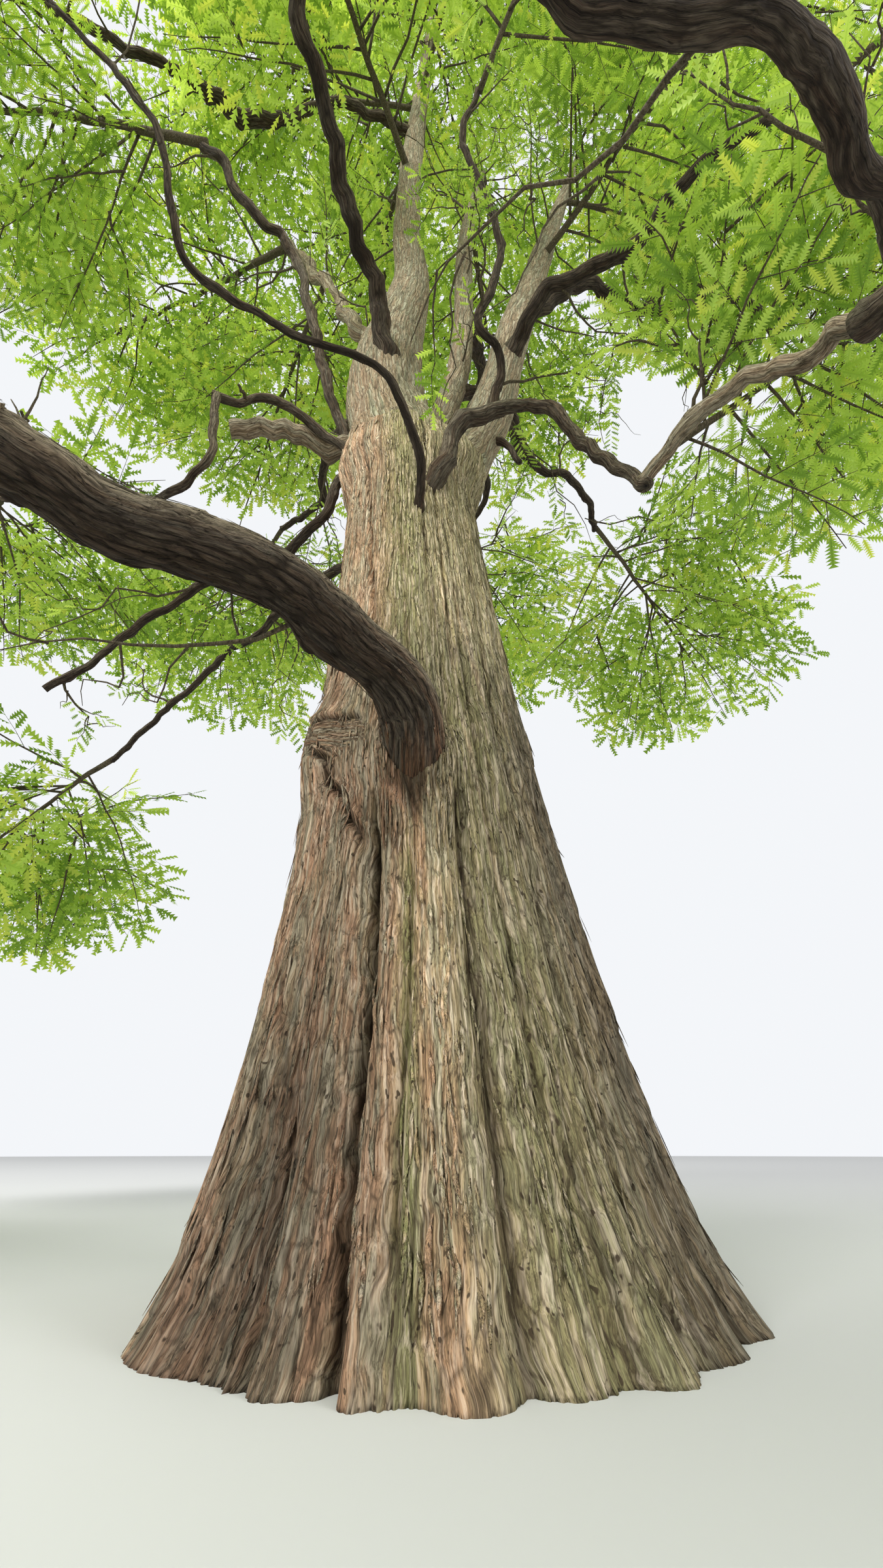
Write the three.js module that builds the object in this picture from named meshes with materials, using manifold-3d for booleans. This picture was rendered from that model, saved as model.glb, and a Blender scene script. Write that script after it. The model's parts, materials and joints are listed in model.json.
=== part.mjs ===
// A bald cypress rooted in the ground: a fluted trunk that flares wide at its foot, forks low into
// three leaders, and carries crooked boughs and layered masses of feathery foliage.
// Millimetres, +Z up. The origin is the middle of the flat cut at ground level. The front of the tree,
// with its low bough, faces -Y. An azimuth of 0 points to the front and one of 90 to the right, +X.
import * as THREE from "three";
import { mergeVertices } from "three/addons/utils/BufferGeometryUtils.js";
import Module from "manifold-3d";

const wasm = await Module();
wasm.setup();

// The trunk
const TRUNK_HEIGHT = 4720; // up to the crotch of the fork
const SHAFT_RADIUS = 300; // what the radius falls to far above the flare
const FLARE_RADIUS = 535; // what the flare adds to it at the ground
const FLARE_FADE = 2150; // height over which the flare falls to a third
const FOOT_RADIUS = 80; // what the last spread of the roots adds at the ground
const FOOT_FADE = 200;
const TRUNK_LEAN = new THREE.Vector3(-0.05, 0.006, 1);
const FRONT_SIDES = 36; // facets of the trunk from azimuth -90 to 90
const BACK_SIDES = 12;
const TRUNK_RINGS = 12;
const RING_CROWDING = 1.2; // over 1 the rings crowd towards the ground
const CROTCH_DEPTH = 420; // the trunk closes over this height under the fork
const CROTCH_CLOSE = 0.75; // of its width there, squared
const CROTCH_WIDEN = 0.2; // and is this much wider from left to right there
const CROTCH_START = 3900;
const KNOT = { azimuth: -46, height: 1930, width: 24, tall: 240, swell: 75 };

// The ribs between the flutes: azimuth and half width in degrees, and strength from 0 to 1
const RIBS = [
  [-80, 12, 0.3], [-50, 13, 1.0], [-25, 7, 0.75], [-10, 5, 0.8], [4, 7, 0.95], [19, 6, 0.5],
  [34, 7, 0.8], [51, 8, 0.7], [71, 10, 0.9], [93, 11, 1.0], [118, 12, 0.85], [145, 13, 1.0],
  [172, 11, 0.75], [198, 12, 1.0], [226, 13, 0.85], [254, 11, 0.8],
];
const RIB_HEIGHT = 0.115; // of the radius, at the ground
const RIB_MEAN = 0.45; // strength at which a rib neither adds to the radius nor takes from it
const RIB_FADE = 4200;

// The leaders and boughs. Each springs from the middle of what carries it, at a height on the trunk
// or a leader, or at a share of a bough's length. It runs on from bend to bend, each run with its
// length, azimuth and elevation, and tapers from its root radius to its tip radius. Some swell
// besides, by so much at a share of their length and over so long a share.
const LIMBS = {
  left_leader: {
    on: "trunk", height: 4200, sides: 9, steps: 24, radius: [175, 30],
    swell: { by: 120, at: 0.07, over: 0.1 },
    runs: [[640, -85, 76], [850, -85, 87], [1250, 85, 83.5], [1300, -90, 87], [8900, 60, 88]],
  },
  middle_leader: {
    on: "trunk", height: 4300, sides: 6, radius: [105, 28],
    runs: [[1400, 106, 76], [2700, 110, 87], [4700, 155, 79]],
  },
  right_leader: {
    on: "trunk", height: 3900, sides: 7, radius: [180, 30],
    runs: [[950, 90, 62], [1550, 92, 77], [5100, 106, 77]],
  },
  low_left_bough: {
    on: "trunk", height: 1580, sides: 10, steps: 10, radius: [122, 86],
    runs: [[600, -2, 16], [200, -8, 42], [350, -40, 19], [330, -51, 12], [400, -55, -9],
      [420, -53, 5]],
  },
  low_left_bough_outer: {
    on: "low_left_bough", share: 0.97, sides: 8, radius: [88, 44],
    runs: [[480, -54, 8], [770, -73, 28], [930, -86, 36], [700, -98, 30]],
  },
  dark_bough: {
    on: "left_leader", height: 4950, sides: 7, radius: [76, 40],
    runs: [[420, 0, 50], [480, -14, 62], [740, -24, 28], [430, -14, 15], [650, -9, 38]],
  },
  crooked_bough: {
    on: "trunk", height: 3400, sides: 5, radius: [32, 14],
    runs: [[460, 9, 10], [400, -20, 50], [260, -44, 41], [490, -68, 6], [490, -64, 14],
      [240, -33, 47], [450, -22, 64], [1070, -65, 49]],
  },
  right_bough: {
    on: "trunk", height: 3560, sides: 6, radius: [58, 45],
    runs: [[490, 20, 28], [300, 74, 70], [380, 91, 45]],
  },
  right_bough_middle: {
    on: "right_bough", share: 0.96, sides: 6, radius: [44, 43],
    runs: [[240, 90, 18], [420, 85, -56], [500, 78, -58], [200, 30, -72]],
  },
  right_bough_outer: {
    on: "right_bough_middle", share: 0.97, sides: 6, radius: [42, 52],
    runs: [[240, 30, 15], [330, 37, 5], [310, 38, -34], [370, 15, -50]],
  },
  overhead_bough: {
    on: "right_bough_outer", share: 0.98, sides: 7, radius: [60, 30],
    runs: [[230, -2, -38], [450, -48, -8], [420, -52, -2], [390, -82, -4], [270, -78, 11],
      [420, -53, 29], [570, -40, 39]],
  },
  riser_bough: {
    on: "right_bough", share: 0.97, sides: 5, radius: [33, 22],
    runs: [[440, 15, 70], [170, -53, 25], [630, 46, 70], [1110, -36, 70], [410, 48, 69]],
  },
  curved_bough: {
    on: "trunk", height: 4150, sides: 7, radius: [46, 42],
    runs: [[740, -83, 52], [820, -58, 70], [1320, -60, 72], [200, -60, 10], [920, -60, 52]],
  },
  pale_bough: {
    on: "left_leader", height: 5800, sides: 6, radius: [60, 44],
    runs: [[600, -101, 64], [900, -108, 69], [1700, -107, 66]],
  },
  knotty_bough: {
    on: "left_leader", height: 10500, sides: 6, radius: [52, 44], swell: { by: 26, at: 0.5, over: 0.1 },
    runs: [[1090, -68, -27], [850, -91, -36], [820, -60, -14], [870, -68, 0], [600, -58, 15]],
  },
  broken_bough: {
    on: "trunk", height: 4480, sides: 7, radius: [76, 60],
    runs: [[480, -88, 20], [470, -83, 5], [290, -82, -15]],
  },
  twisted_bough: {
    on: "trunk", height: 4150, sides: 5, radius: [38, 32],
    runs: [[800, -78, 37], [330, -74, 39], [180, -80, 3], [200, -61, -59], [150, -67, -4]],
  },
  twisted_bough_outer: {
    on: "twisted_bough", share: 0.98, sides: 5, radius: [31, 22],
    runs: [[830, 60, -85], [310, -111, -25], [720, -108, 15], [800, -101, 27]],
  },
  side_bough: {
    on: "trunk", height: 4100, sides: 5, radius: [40, 28],
    runs: [[460, -88, 30], [480, -97, -68], [270, -129, -19], [610, -114, 3], [1300, -92, -47]],
  },
  far_left_bough: {
    on: "trunk", height: 3450, sides: 5, radius: [40, 26],
    runs: [[480, -114, 28], [920, -135, 13], [730, -133, 4], [690, -123, -22], [720, -119, -30]],
  },
  right_stub: {
    on: "right_leader", height: 4650, sides: 5, radius: [30, 25],
    runs: [[200, 78, -12], [250, 77, -58]],
  },
};

// The boughs of the right side and the back: azimuth and length, with the leader and the height that
// they spring from
const BACK_BOUGHS = [
  [55, 2500, "right_leader", 5600], [97, 2800, "right_leader", 6500],
  [138, 2600, "middle_leader", 5500], [175, 2900, "middle_leader", 6600],
  [213, 2700, "left_leader", 5700],
];
const BACK_RADIUS = [60, 28];
const BACK_RISE = [34, 10, 4, 14]; // elevation of the four equal runs
const BACK_SWING = 16; // how far each run turns aside, left and right by turns
BACK_BOUGHS.forEach(([azimuth, length, on, height], index) => {
  const runs = BACK_RISE.map((elevation, k) =>
    [length / BACK_RISE.length, azimuth + BACK_SWING * (k % 2 ? 1 : -1), elevation]);
  LIMBS[`back_bough_${index + 1}`] = { on, height, sides: 5, radius: BACK_RADIUS, runs };
});

// The masses of foliage that end the boughs and the leaders: the limb, the azimuth and elevation in
// which the stem grows, and its length
const TIP_MASSES = [
  ["low_left_bough_outer", -95, 22, 2500], ["dark_bough", -12, 22, 2300],
  ["crooked_bough", -58, 24, 2200], ["overhead_bough", -35, 25, 2400],
  ["riser_bough", 30, 35, 2300], ["curved_bough", -84, 8, 2400], ["pale_bough", -112, 14, 2600],
  ["knotty_bough", -60, 8, 2100], ["twisted_bough_outer", -135, 42, 2400],
  ["far_left_bough", -128, 2, 2500], ["back_bough_1", 52, 8, 2600], ["back_bough_2", 97, 10, 2600],
  ["back_bough_3", 140, 6, 2700], ["back_bough_4", 175, 10, 2800], ["back_bough_5", 215, 14, 2800],
  ["middle_leader", 165, 55, 2500], ["right_leader", 85, 55, 2500], ["left_leader", 20, 84, 1900],
];
// Those that stand out from the side of a limb, with the height that they spring from
const SIDE_MASSES = [
  ["right_bough_outer", 80, 40, 1700, 3500], ["right_leader", 42, 18, 2600, 7700],
  ["right_leader", 100, 20, 2600, 9500], ["middle_leader", 168, 16, 2700, 9300],
  ["left_leader", -25, 16, 3000, 9300], ["left_leader", -150, 18, 2900, 10000],
  ["left_leader", -85, 20, 2800, 11300], ["left_leader", 20, 22, 2700, 11500],
  ["left_leader", -165, 26, 2500, 12900], ["left_leader", 80, 28, 2400, 13900],
  ["left_leader", -45, 28, 2400, 13600], ["left_leader", 165, 34, 2200, 15100],
  ["left_leader", 35, 36, 2100, 15600], ["left_leader", -100, 36, 2100, 15700],
  ["pale_bough", -150, 4, 2200, 7500],
];

// How limbs and twigs are made
const CLEARANCE = 0.4; // gap between a limb and what it springs from
const RING_STEP = 450; // between the rings of a limb that states no steps of its own
const COLLAR_SWELL = 0.35; // of the radius, where a limb springs from its parent
const COLLAR_FADE = 170;
const LIMB_MARGIN = 45; // free room between foliage and a limb
const LIMB_ROOM = 1.2; // of a limb's radius, which foliage keeps out of
const TRUNK_ROOM = 900; // from the middle of the trunk, which foliage keeps out of
const PROBE_STEP = 70; // between the points of a limb that foliage is tested against
const STEM_SINK = 0.992; // of its limb's length, where the stem of a tip mass starts
const STEM_SHARE = 0.94; // of its limb's tip radius, for that stem's root

// The rule by which a mass of foliage branches: a stem sends out twigs, left and right by turns, and
// every other twig sends up a side twig. Each of them ends in a spray of needles, a toothed blade.
const TWIGS = 6; // from each stem
const FIRST_TWIG = 0.2; // of the stem
const LAST_TWIG = 0.84;
const TWIG_LENGTH = 0.32; // of the stem's length, for the longest twig
const TWIG_ANGLE = 58;
const TWIG_ROLL = 50; // how far twigs stand out of the plane of the mass, at most
const SIDE_TWIG_PLACE = 0.45; // of the twig
const SIDE_TWIG_LENGTH = 0.09; // of the stem's length
const SIDE_TWIG_RISE = 52; // above the twig
const DROOP = 0.13; // of a stem's or a twig's length
const STEM_RADIUS = 0.012; // of its length
const STEM_TIP_RADIUS = 12;
const TWIG_RADIUS = 15;
const TWIG_TIP_RADIUS = 9;
const BLADE_LENGTH = 0.41; // of the stem's length
const BLADE_WIDTH = 0.6; // of the blade's length
const BLADE_THICKNESS = 0.06;
const BLADE_TILT = 45;
const SPACE = [0.86, 0.72, 0.56]; // half the space of a mass along, across and upright, of the stem
const SPACE_MIDDLE = 0.62; // of the stem, where the middle of the space lies
const SPACE_MARGIN = 0.03; // how much nearer a point must be to its own mass than to any other

// Half of a blade's toothed outline, from its root to its tip, as shares of its length and its width
const BLADE_TEETH = [[0.34, 0.48], [0.48, 0.22], [0.7, 0.36]];

const BARK = new THREE.MeshStandardMaterial({ color: 0x9a7b5c, roughness: 0.95, metalness: 0 });
const LIMB_BARK = new THREE.MeshStandardMaterial({ color: 0x6b5644, roughness: 0.95, metalness: 0 });
const NEEDLES = new THREE.MeshStandardMaterial({ color: 0x76b52c, roughness: 0.7, metalness: 0 });

const UP = new THREE.Vector3(0, 0, 1);
const radians = THREE.MathUtils.degToRad;
const mix = THREE.MathUtils.lerp;
const fade = (distance, reach) => Math.exp(-distance / reach);

// The direction of an azimuth and an elevation, both in degrees
function heading(azimuth, elevation = 0) {
  const level = Math.cos(radians(elevation));
  return new THREE.Vector3(
    Math.sin(radians(azimuth)) * level,
    -Math.cos(radians(azimuth)) * level,
    Math.sin(radians(elevation)),
  );
}

// A bump of height 1 at an azimuth, whose foot spreads over its half width
function bump(azimuth, middle, halfWidth) {
  const away = ((azimuth - middle + 540) % 360) - 180;
  return Math.exp(-((away / halfWidth) ** 2));
}

// A closed solid from the corners of its triangles
function solidFrom(points) {
  const merged = mergeVertices(new THREE.BufferGeometry().setFromPoints(points), 1e-3);
  return new wasm.Manifold(
    new wasm.Mesh({
      numProp: 3,
      vertProperties: merged.attributes.position.array,
      triVerts: new Uint32Array(merged.index.array),
    }),
  );
}

// The triangles of a wall between rings of equally many points, each ring counterclockwise seen from
// its far end
function wall(rings) {
  const points = [];
  for (let j = 1; j < rings.length; j++)
    rings[j].forEach((d, k) => {
      const next = (k + 1) % rings[j].length;
      points.push(rings[j - 1][k], rings[j - 1][next], rings[j][next]);
      points.push(rings[j - 1][k], rings[j][next], d);
    });
  return points;
}

// The triangles of a flat end over a ring, counterclockwise seen from outside
function lid(ring) {
  return ring.slice(2).flatMap((p, k) => [ring[0], ring[k + 1], p]);
}

// The triangles from a peak to each edge of a closed loop
function peaked(peak, loop) {
  return loop.flatMap((p, k) => [peak, p, loop[(k + 1) % loop.length]]);
}

// A closed skin over rings
function skin(rings) {
  return solidFrom([...wall(rings), ...lid([...rings[0]].reverse()), ...lid(rings.at(-1))]);
}

// The middle of the trunk at a height
const trunkAxis = (z) => TRUNK_LEAN.clone().multiplyScalar(z);

// The trunk's radius at an azimuth and a height: shaft, flare and foot, with ribs and the knot on them
function trunkRadius(azimuth, z) {
  const round = SHAFT_RADIUS + FLARE_RADIUS * fade(z, FLARE_FADE) + FOOT_RADIUS * fade(z, FOOT_FADE);
  const ribs = RIBS.reduce((sum, [at, width, strength]) => sum + strength * bump(azimuth, at, width), 0);
  const knot = bump(azimuth, KNOT.azimuth, KNOT.width) * fade((z - KNOT.height) ** 2, KNOT.tall ** 2);
  return round * (1 + RIB_HEIGHT * fade(z, RIB_FADE) * (ribs - RIB_MEAN)) + KNOT.swell * knot;
}

// The azimuth of each corner of the trunk's rings, closer together at the front
const facetAzimuth = (k) =>
  k < FRONT_SIDES ? (k * 180) / FRONT_SIDES - 90 : ((k - FRONT_SIDES) * 180) / BACK_SIDES + 90;

// The trunk, its surface moved out by a clearance where it cuts another solid
function trunkSolid(grow = 0) {
  const rings = [];
  for (let j = 0; j <= TRUNK_RINGS; j++) {
    const z = TRUNK_HEIGHT * (j / TRUNK_RINGS) ** RING_CROWDING;
    const close = Math.max(0, (z - TRUNK_HEIGHT + CROTCH_DEPTH) / CROTCH_DEPTH);
    const widen = 1 + CROTCH_WIDEN * THREE.MathUtils.smoothstep(z, CROTCH_START, TRUNK_HEIGHT - CROTCH_DEPTH);
    const ring = [];
    for (let k = 0; k < FRONT_SIDES + BACK_SIDES; k++) {
      const azimuth = facetAzimuth(k);
      const radius = trunkRadius(azimuth, z) * Math.sqrt(1 - CROTCH_CLOSE * close ** 2) + grow;
      const out = heading(azimuth).multiplyScalar(radius);
      out.x *= widen;
      ring.push(out.add(trunkAxis(z)));
    }
    rings.push(ring);
  }
  if (grow > 0) rings.at(-1).forEach((p) => (p.z += grow));
  return skin(rings);
}

// The smooth line of a limb, and its radius at a share of its length
const lines = {};
function limbLine(name) {
  if (!lines[name]) {
    const { on, height, share, runs, radius, swell = { by: 0, at: 0, over: 1 } } = LIMBS[name];
    const root = share === undefined ? axisAt(on, height) : limbLine(on).curve.getPointAt(share);
    const points = [root];
    for (const [length, azimuth, elevation] of runs)
      points.push(points.at(-1).clone().addScaledVector(heading(azimuth, elevation), length));
    const curve = new THREE.CatmullRomCurve3(points, false, "centripetal");
    const radiusAt = (u) =>
      mix(radius[0], radius[1], u) + swell.by * Math.exp(-(((u - swell.at) / swell.over) ** 2));
    lines[name] = { curve, length: curve.getLength(), radiusAt };
  }
  return lines[name];
}

// The middle of the trunk, or of a leader, at a height
function axisAt(on, height) {
  if (on === "trunk") return trunkAxis(height);
  const points = limbLine(on).curve.getSpacedPoints(300);
  return points.reduce((best, p) => (Math.abs(p.z - height) < Math.abs(best.z - height) ? p : best));
}

// A tube of changing radius along a curve, closed at both ends
function tube(curve, radiusAt, sides, steps, grow = 0) {
  const frames = curve.computeFrenetFrames(steps);
  const rings = [];
  for (let j = 0; j <= steps; j++) {
    const u = j / steps;
    const middle = curve.getPointAt(u);
    if (grow > 0 && j === steps) middle.addScaledVector(frames.tangents[steps], grow);
    const ring = [];
    for (let k = 0; k < sides; k++) {
      const turn = (k * 2 * Math.PI) / sides;
      const radius = radiusAt(u) + grow / Math.cos(Math.PI / sides);
      ring.push(middle.clone()
        .addScaledVector(frames.normals[j], radius * Math.cos(turn))
        .addScaledVector(frames.binormals[j], radius * Math.sin(turn)));
    }
    rings.push(ring);
  }
  return skin(rings);
}

// A leader or bough, swollen to a collar where it leaves its parent
function limbSolid(name, grow = 0) {
  const { curve, radiusAt, length } = limbLine(name);
  const swollen = (u) => radiusAt(u) * (1 + COLLAR_SWELL * fade(u * length, COLLAR_FADE));
  const { sides, steps = Math.max(3, Math.round(length / RING_STEP)) } = LIMBS[name];
  return tube(curve, swollen, sides, steps, grow);
}

// The largest separate body of a solid
function largest(solid) {
  return solid.decompose().reduce((a, b) => (b.volume() > a.volume() ? b : a));
}

// A line that leaves its root in one direction and droops towards its end
function droopingLine(root, along, length) {
  const middle = root.clone().addScaledVector(along, length / 2);
  const end = root.clone().addScaledVector(along, length).addScaledVector(UP, -length * DROOP);
  return new THREE.QuadraticBezierCurve3(root, middle, end);
}

// The stem of a mass: its line, the directions of its space and the middle of it
function stemOf(name, on, azimuth, elevation, length, height) {
  const { curve, radiusAt } = limbLine(on);
  const root = height === undefined ? curve.getPointAt(STEM_SINK) : axisAt(on, height);
  const along = heading(azimuth, elevation);
  const across = new THREE.Vector3().crossVectors(along, UP).normalize();
  const upright = new THREE.Vector3().crossVectors(across, along);
  const line = droopingLine(root, along, length);
  const rootRadius = height === undefined ? radiusAt(1) * STEM_SHARE : length * STEM_RADIUS;
  return { name, on, length, along, across, upright, line, rootRadius, middle: line.getPoint(SPACE_MIDDLE) };
}

const stems = TIP_MASSES.map((mass) => stemOf(mass[0], ...mass));
SIDE_MASSES.forEach((mass, k) => stems.push(stemOf(`${mass[0]}_side_${k + 1}`, ...mass)));

// How far a point is from the middle of a mass, where 1 is the edge of the mass's space
function reachIn(stem, point) {
  const away = point.clone().sub(stem.middle);
  return Math.hypot(
    away.dot(stem.along) / (stem.length * SPACE[0]),
    away.dot(stem.across) / (stem.length * SPACE[1]),
    away.dot(stem.upright) / (stem.length * SPACE[2]),
  );
}

// Balls along every limb and stem, which foliage keeps clear of
const obstacles = [];
for (const name of Object.keys(LIMBS)) {
  const { curve, radiusAt, length } = limbLine(name);
  const count = Math.ceil(length / PROBE_STEP);
  for (let j = 0; j <= count; j++)
    obstacles.push({ middle: curve.getPointAt(j / count), radius: radiusAt(j / count) * LIMB_ROOM });
}
for (const stem of stems)
  for (const middle of stem.line.getPoints(30))
    obstacles.push({ middle, radius: stem.length * STEM_RADIUS, stem });

// True where points lie in a mass's own space and clear of limbs, of other stems and of the trunk
function isFree(stem, points) {
  return points.every((point) => {
    const own = reachIn(stem, point);
    if (own > 1) return false;
    if (stems.some((other) => other !== stem && reachIn(other, point) < own + SPACE_MARGIN)) return false;
    if (point.z < TRUNK_HEIGHT && point.distanceTo(trunkAxis(point.z)) < TRUNK_ROOM) return false;
    return obstacles.every(({ middle, radius, stem: owner }) =>
      owner === stem || middle.distanceTo(point) > radius + LIMB_MARGIN);
  });
}

// A twig that ends in a blade: its rings of three points, then the blade's outline between a top and an
// under peak. The turn rolls it about its line. Its reach is a set of points spread over it.
function sprig(line, steps, rootRadius, tipRadius, turn, bladeLength) {
  const rings = [];
  let middle, along, side, normal;
  for (let j = 0; j <= steps; j++) {
    const share = j / steps;
    const radius = mix(rootRadius, tipRadius, share);
    middle = line.getPoint(share);
    along = line.getTangent(share);
    side = new THREE.Vector3().crossVectors(along, UP).normalize().applyAxisAngle(along, turn);
    normal = new THREE.Vector3().crossVectors(side, along);
    const corner = (right, up) =>
      middle.clone().addScaledVector(side, right * radius).addScaledVector(normal, up * radius);
    rings.push([corner(-0.87, -0.5), corner(0, 1), corner(0.87, -0.5)]);
  }
  const place = (share, across, up) => middle.clone().addScaledVector(along, share * bladeLength)
    .addScaledVector(side, across * BLADE_WIDTH * bladeLength)
    .addScaledVector(normal, (up * BLADE_THICKNESS * bladeLength) / 2);
  const rightTeeth = BLADE_TEETH.map(([share, across]) => place(share, across, 0));
  const leftTeeth = BLADE_TEETH.map(([share, across]) => place(share, -across, 0)).reverse();
  const outline = [...rightTeeth, place(1, 0, 0), ...leftTeeth];
  const [left, top, right] = rings.at(-1);
  const solid = () => solidFrom([
    ...wall(rings),
    ...lid([...rings[0]].reverse()),
    ...peaked(place(0.4, 0, 1), [right, ...outline, left, top]),
    ...peaked(place(0.4, 0, -1), [left, ...outline.toReversed(), right]),
  ]);
  const inside = [0.1, 0.3, 0.5, 0.7, 0.9].flatMap((share) =>
    [-0.22, 0, 0.22].map((across) => place(share, across, 0)));
  return { solid, reach: [line.getPoint(0.6), line.getPoint(1), ...outline, ...inside] };
}

// The same numbers in the same order for the same seed
function seededRandom(seed) {
  let state = seed >>> 0;
  return () => {
    state = (Math.imul(state, 1664525) + 1013904223) >>> 0;
    return state / 4294967296;
  };
}

// A mass of foliage: a stem, its twigs and their blades, fused into one solid
function massSolid(stem, seed) {
  const random = seededRandom(seed);
  const jitter = (span) => (random() - 0.5) * 2 * span;
  const { length, along, across, upright, line, rootRadius } = stem;
  const parts = [sprig(line, 4, rootRadius, STEM_TIP_RADIUS, 0, length * BLADE_LENGTH).solid()];
  const addTwig = (root, direction, reach, steps, radius, blade) => {
    const twig = droopingLine(root, direction, reach);
    const made = sprig(twig, steps, radius, TWIG_TIP_RADIUS, radians(jitter(BLADE_TILT)), blade);
    const free = isFree(stem, made.reach);
    if (free) parts.push(made.solid());
    return free ? twig : null;
  };
  for (let k = 0; k < TWIGS; k++) {
    const hand = k % 2 ? -1 : 1;
    const share = mix(FIRST_TWIG, LAST_TWIG, k / (TWIGS - 1)) + jitter(0.03);
    const roll = radians(jitter(TWIG_ROLL));
    const angle = radians(TWIG_ANGLE + jitter(9));
    const out = along.clone().multiplyScalar(Math.cos(angle))
      .addScaledVector(across, hand * Math.cos(roll) * Math.sin(angle))
      .addScaledVector(upright, Math.sin(roll) * Math.sin(angle));
    const reach = length * TWIG_LENGTH * (1 - 0.5 * share) * (1 + jitter(0.15));
    const blade = length * BLADE_LENGTH * (1 + jitter(0.15));
    const twig = addTwig(line.getPoint(share), out, reach, 2, TWIG_RADIUS, blade);
    const rise = radians(SIDE_TWIG_RISE + jitter(15));
    const raised = out.clone().multiplyScalar(Math.cos(rise)).addScaledVector(upright, Math.sin(rise));
    if (twig && k % 2 === 0)
      addTwig(twig.getPoint(SIDE_TWIG_PLACE), raised.normalize(), length * SIDE_TWIG_LENGTH, 1,
        TWIG_TIP_RADIUS, blade * 0.85);
  }
  return largest(wasm.Manifold.union(parts).subtract(limbSolid(stem.on, CLEARANCE)));
}

// A named mesh of a solid
function meshOf(name, solid, material) {
  const { numProp, numVert, vertProperties, triVerts } = solid.getMesh();
  const position = new Float32Array(numVert * 3);
  for (let k = 0; k < numVert; k++)
    position.set(vertProperties.subarray(k * numProp, k * numProp + 3), k * 3);
  const geometry = new THREE.BufferGeometry()
    .setAttribute("position", new THREE.BufferAttribute(position, 3))
    .setIndex(new THREE.BufferAttribute(triVerts, 1));
  geometry.computeVertexNormals();
  const mesh = new THREE.Mesh(geometry, material);
  mesh.name = name;
  return mesh;
}

const tree = new THREE.Group();
tree.add(meshOf("trunk", trunkSolid(), BARK));

// Each limb is cut clear of the trunk and of the limbs before it
const cutters = [trunkSolid(CLEARANCE)];
for (const name of Object.keys(LIMBS)) {
  const cut = cutters.reduce((rest, cutter) => rest.subtract(cutter), limbSolid(name));
  tree.add(meshOf(name, largest(cut), LIMB_BARK));
  cutters.push(limbSolid(name, CLEARANCE));
}
stems.forEach((stem, index) =>
  tree.add(meshOf(`foliage_${stem.name}`, massSolid(stem, 4001 + index * 77), NEEDLES)));

export default tree;
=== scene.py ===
import json

import bpy
import numpy as np
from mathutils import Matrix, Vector

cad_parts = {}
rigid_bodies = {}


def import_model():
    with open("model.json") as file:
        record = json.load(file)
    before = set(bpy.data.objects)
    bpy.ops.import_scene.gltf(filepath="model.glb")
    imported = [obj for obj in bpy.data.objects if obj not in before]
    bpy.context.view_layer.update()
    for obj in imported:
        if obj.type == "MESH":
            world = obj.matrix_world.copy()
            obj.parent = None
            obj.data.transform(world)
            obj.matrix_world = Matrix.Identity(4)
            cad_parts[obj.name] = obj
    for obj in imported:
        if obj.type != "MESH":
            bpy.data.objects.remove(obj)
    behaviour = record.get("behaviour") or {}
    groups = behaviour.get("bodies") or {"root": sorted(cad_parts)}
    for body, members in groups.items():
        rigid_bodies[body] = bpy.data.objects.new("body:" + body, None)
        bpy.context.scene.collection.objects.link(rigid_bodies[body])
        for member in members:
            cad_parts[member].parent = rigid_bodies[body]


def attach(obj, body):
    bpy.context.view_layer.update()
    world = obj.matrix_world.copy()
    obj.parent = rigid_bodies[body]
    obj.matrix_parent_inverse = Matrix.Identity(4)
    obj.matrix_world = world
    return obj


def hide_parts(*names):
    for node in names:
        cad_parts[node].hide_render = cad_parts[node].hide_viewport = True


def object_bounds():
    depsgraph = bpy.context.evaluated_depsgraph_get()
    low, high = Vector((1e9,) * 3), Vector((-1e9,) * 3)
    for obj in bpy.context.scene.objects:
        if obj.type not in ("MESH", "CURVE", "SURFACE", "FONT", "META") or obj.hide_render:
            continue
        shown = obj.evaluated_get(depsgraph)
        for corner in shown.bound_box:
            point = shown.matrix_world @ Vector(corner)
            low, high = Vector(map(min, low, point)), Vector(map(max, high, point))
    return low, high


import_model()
solid_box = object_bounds()

# The trunk. It is living wood under fibrous bark, which hangs in long strips between furrows that are
# darkened with painted shade. Ribs with flutes between them run down its flare, the healed scar of a lost
# bough lies at its left, and it stands on the flat cut at the ground.
TRUNK_HEIGHT = 4.72
SHAFT_RADIUS = 0.3
FLARE_RADIUS, FLARE_FADE = 0.535, 2.15  # added at the ground, and the height over which most of it fades
FOOT_RADIUS, FOOT_FADE = 0.08, 0.2  # the same for the foot
TRUNK_LEAN = np.array([-0.05, 0.006, 1.0])  # where its axis runs in one metre of height
CROTCH_DEPTH = 0.42  # how far under its top the trunk begins to close
CROTCH_SADDLE = 0.4  # how much lower that is at the front and back, between the leaders
CROTCH_CLOSE = 0.75  # of the square of its radius, at its top
CROTCH_WIDEN, CROTCH_START = 0.2, 3.9  # how much broader it grows under the leaders, and from which height
RIB_HEIGHT = 0.115  # of the radius, at the ground
RIB_MEAN = 0.45  # of a rib's strength, where the radius is the plain one
RIB_FADE = 4.2  # the height over which most of them fades

# Azimuth and half width in degrees, and strength, of each rib between the flutes
RIBS = [
    (-80, 12, 0.3), (-50, 13, 1.0), (-25, 7, 0.75), (-10, 5, 0.8), (4, 7, 0.95), (19, 6, 0.5),
    (34, 7, 0.8), (51, 8, 0.7), (71, 10, 0.9), (93, 11, 1.0), (118, 12, 0.85), (145, 13, 1.0),
    (172, 11, 0.75), (198, 12, 1.0), (226, 13, 0.85), (254, 11, 0.8),
]

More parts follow.
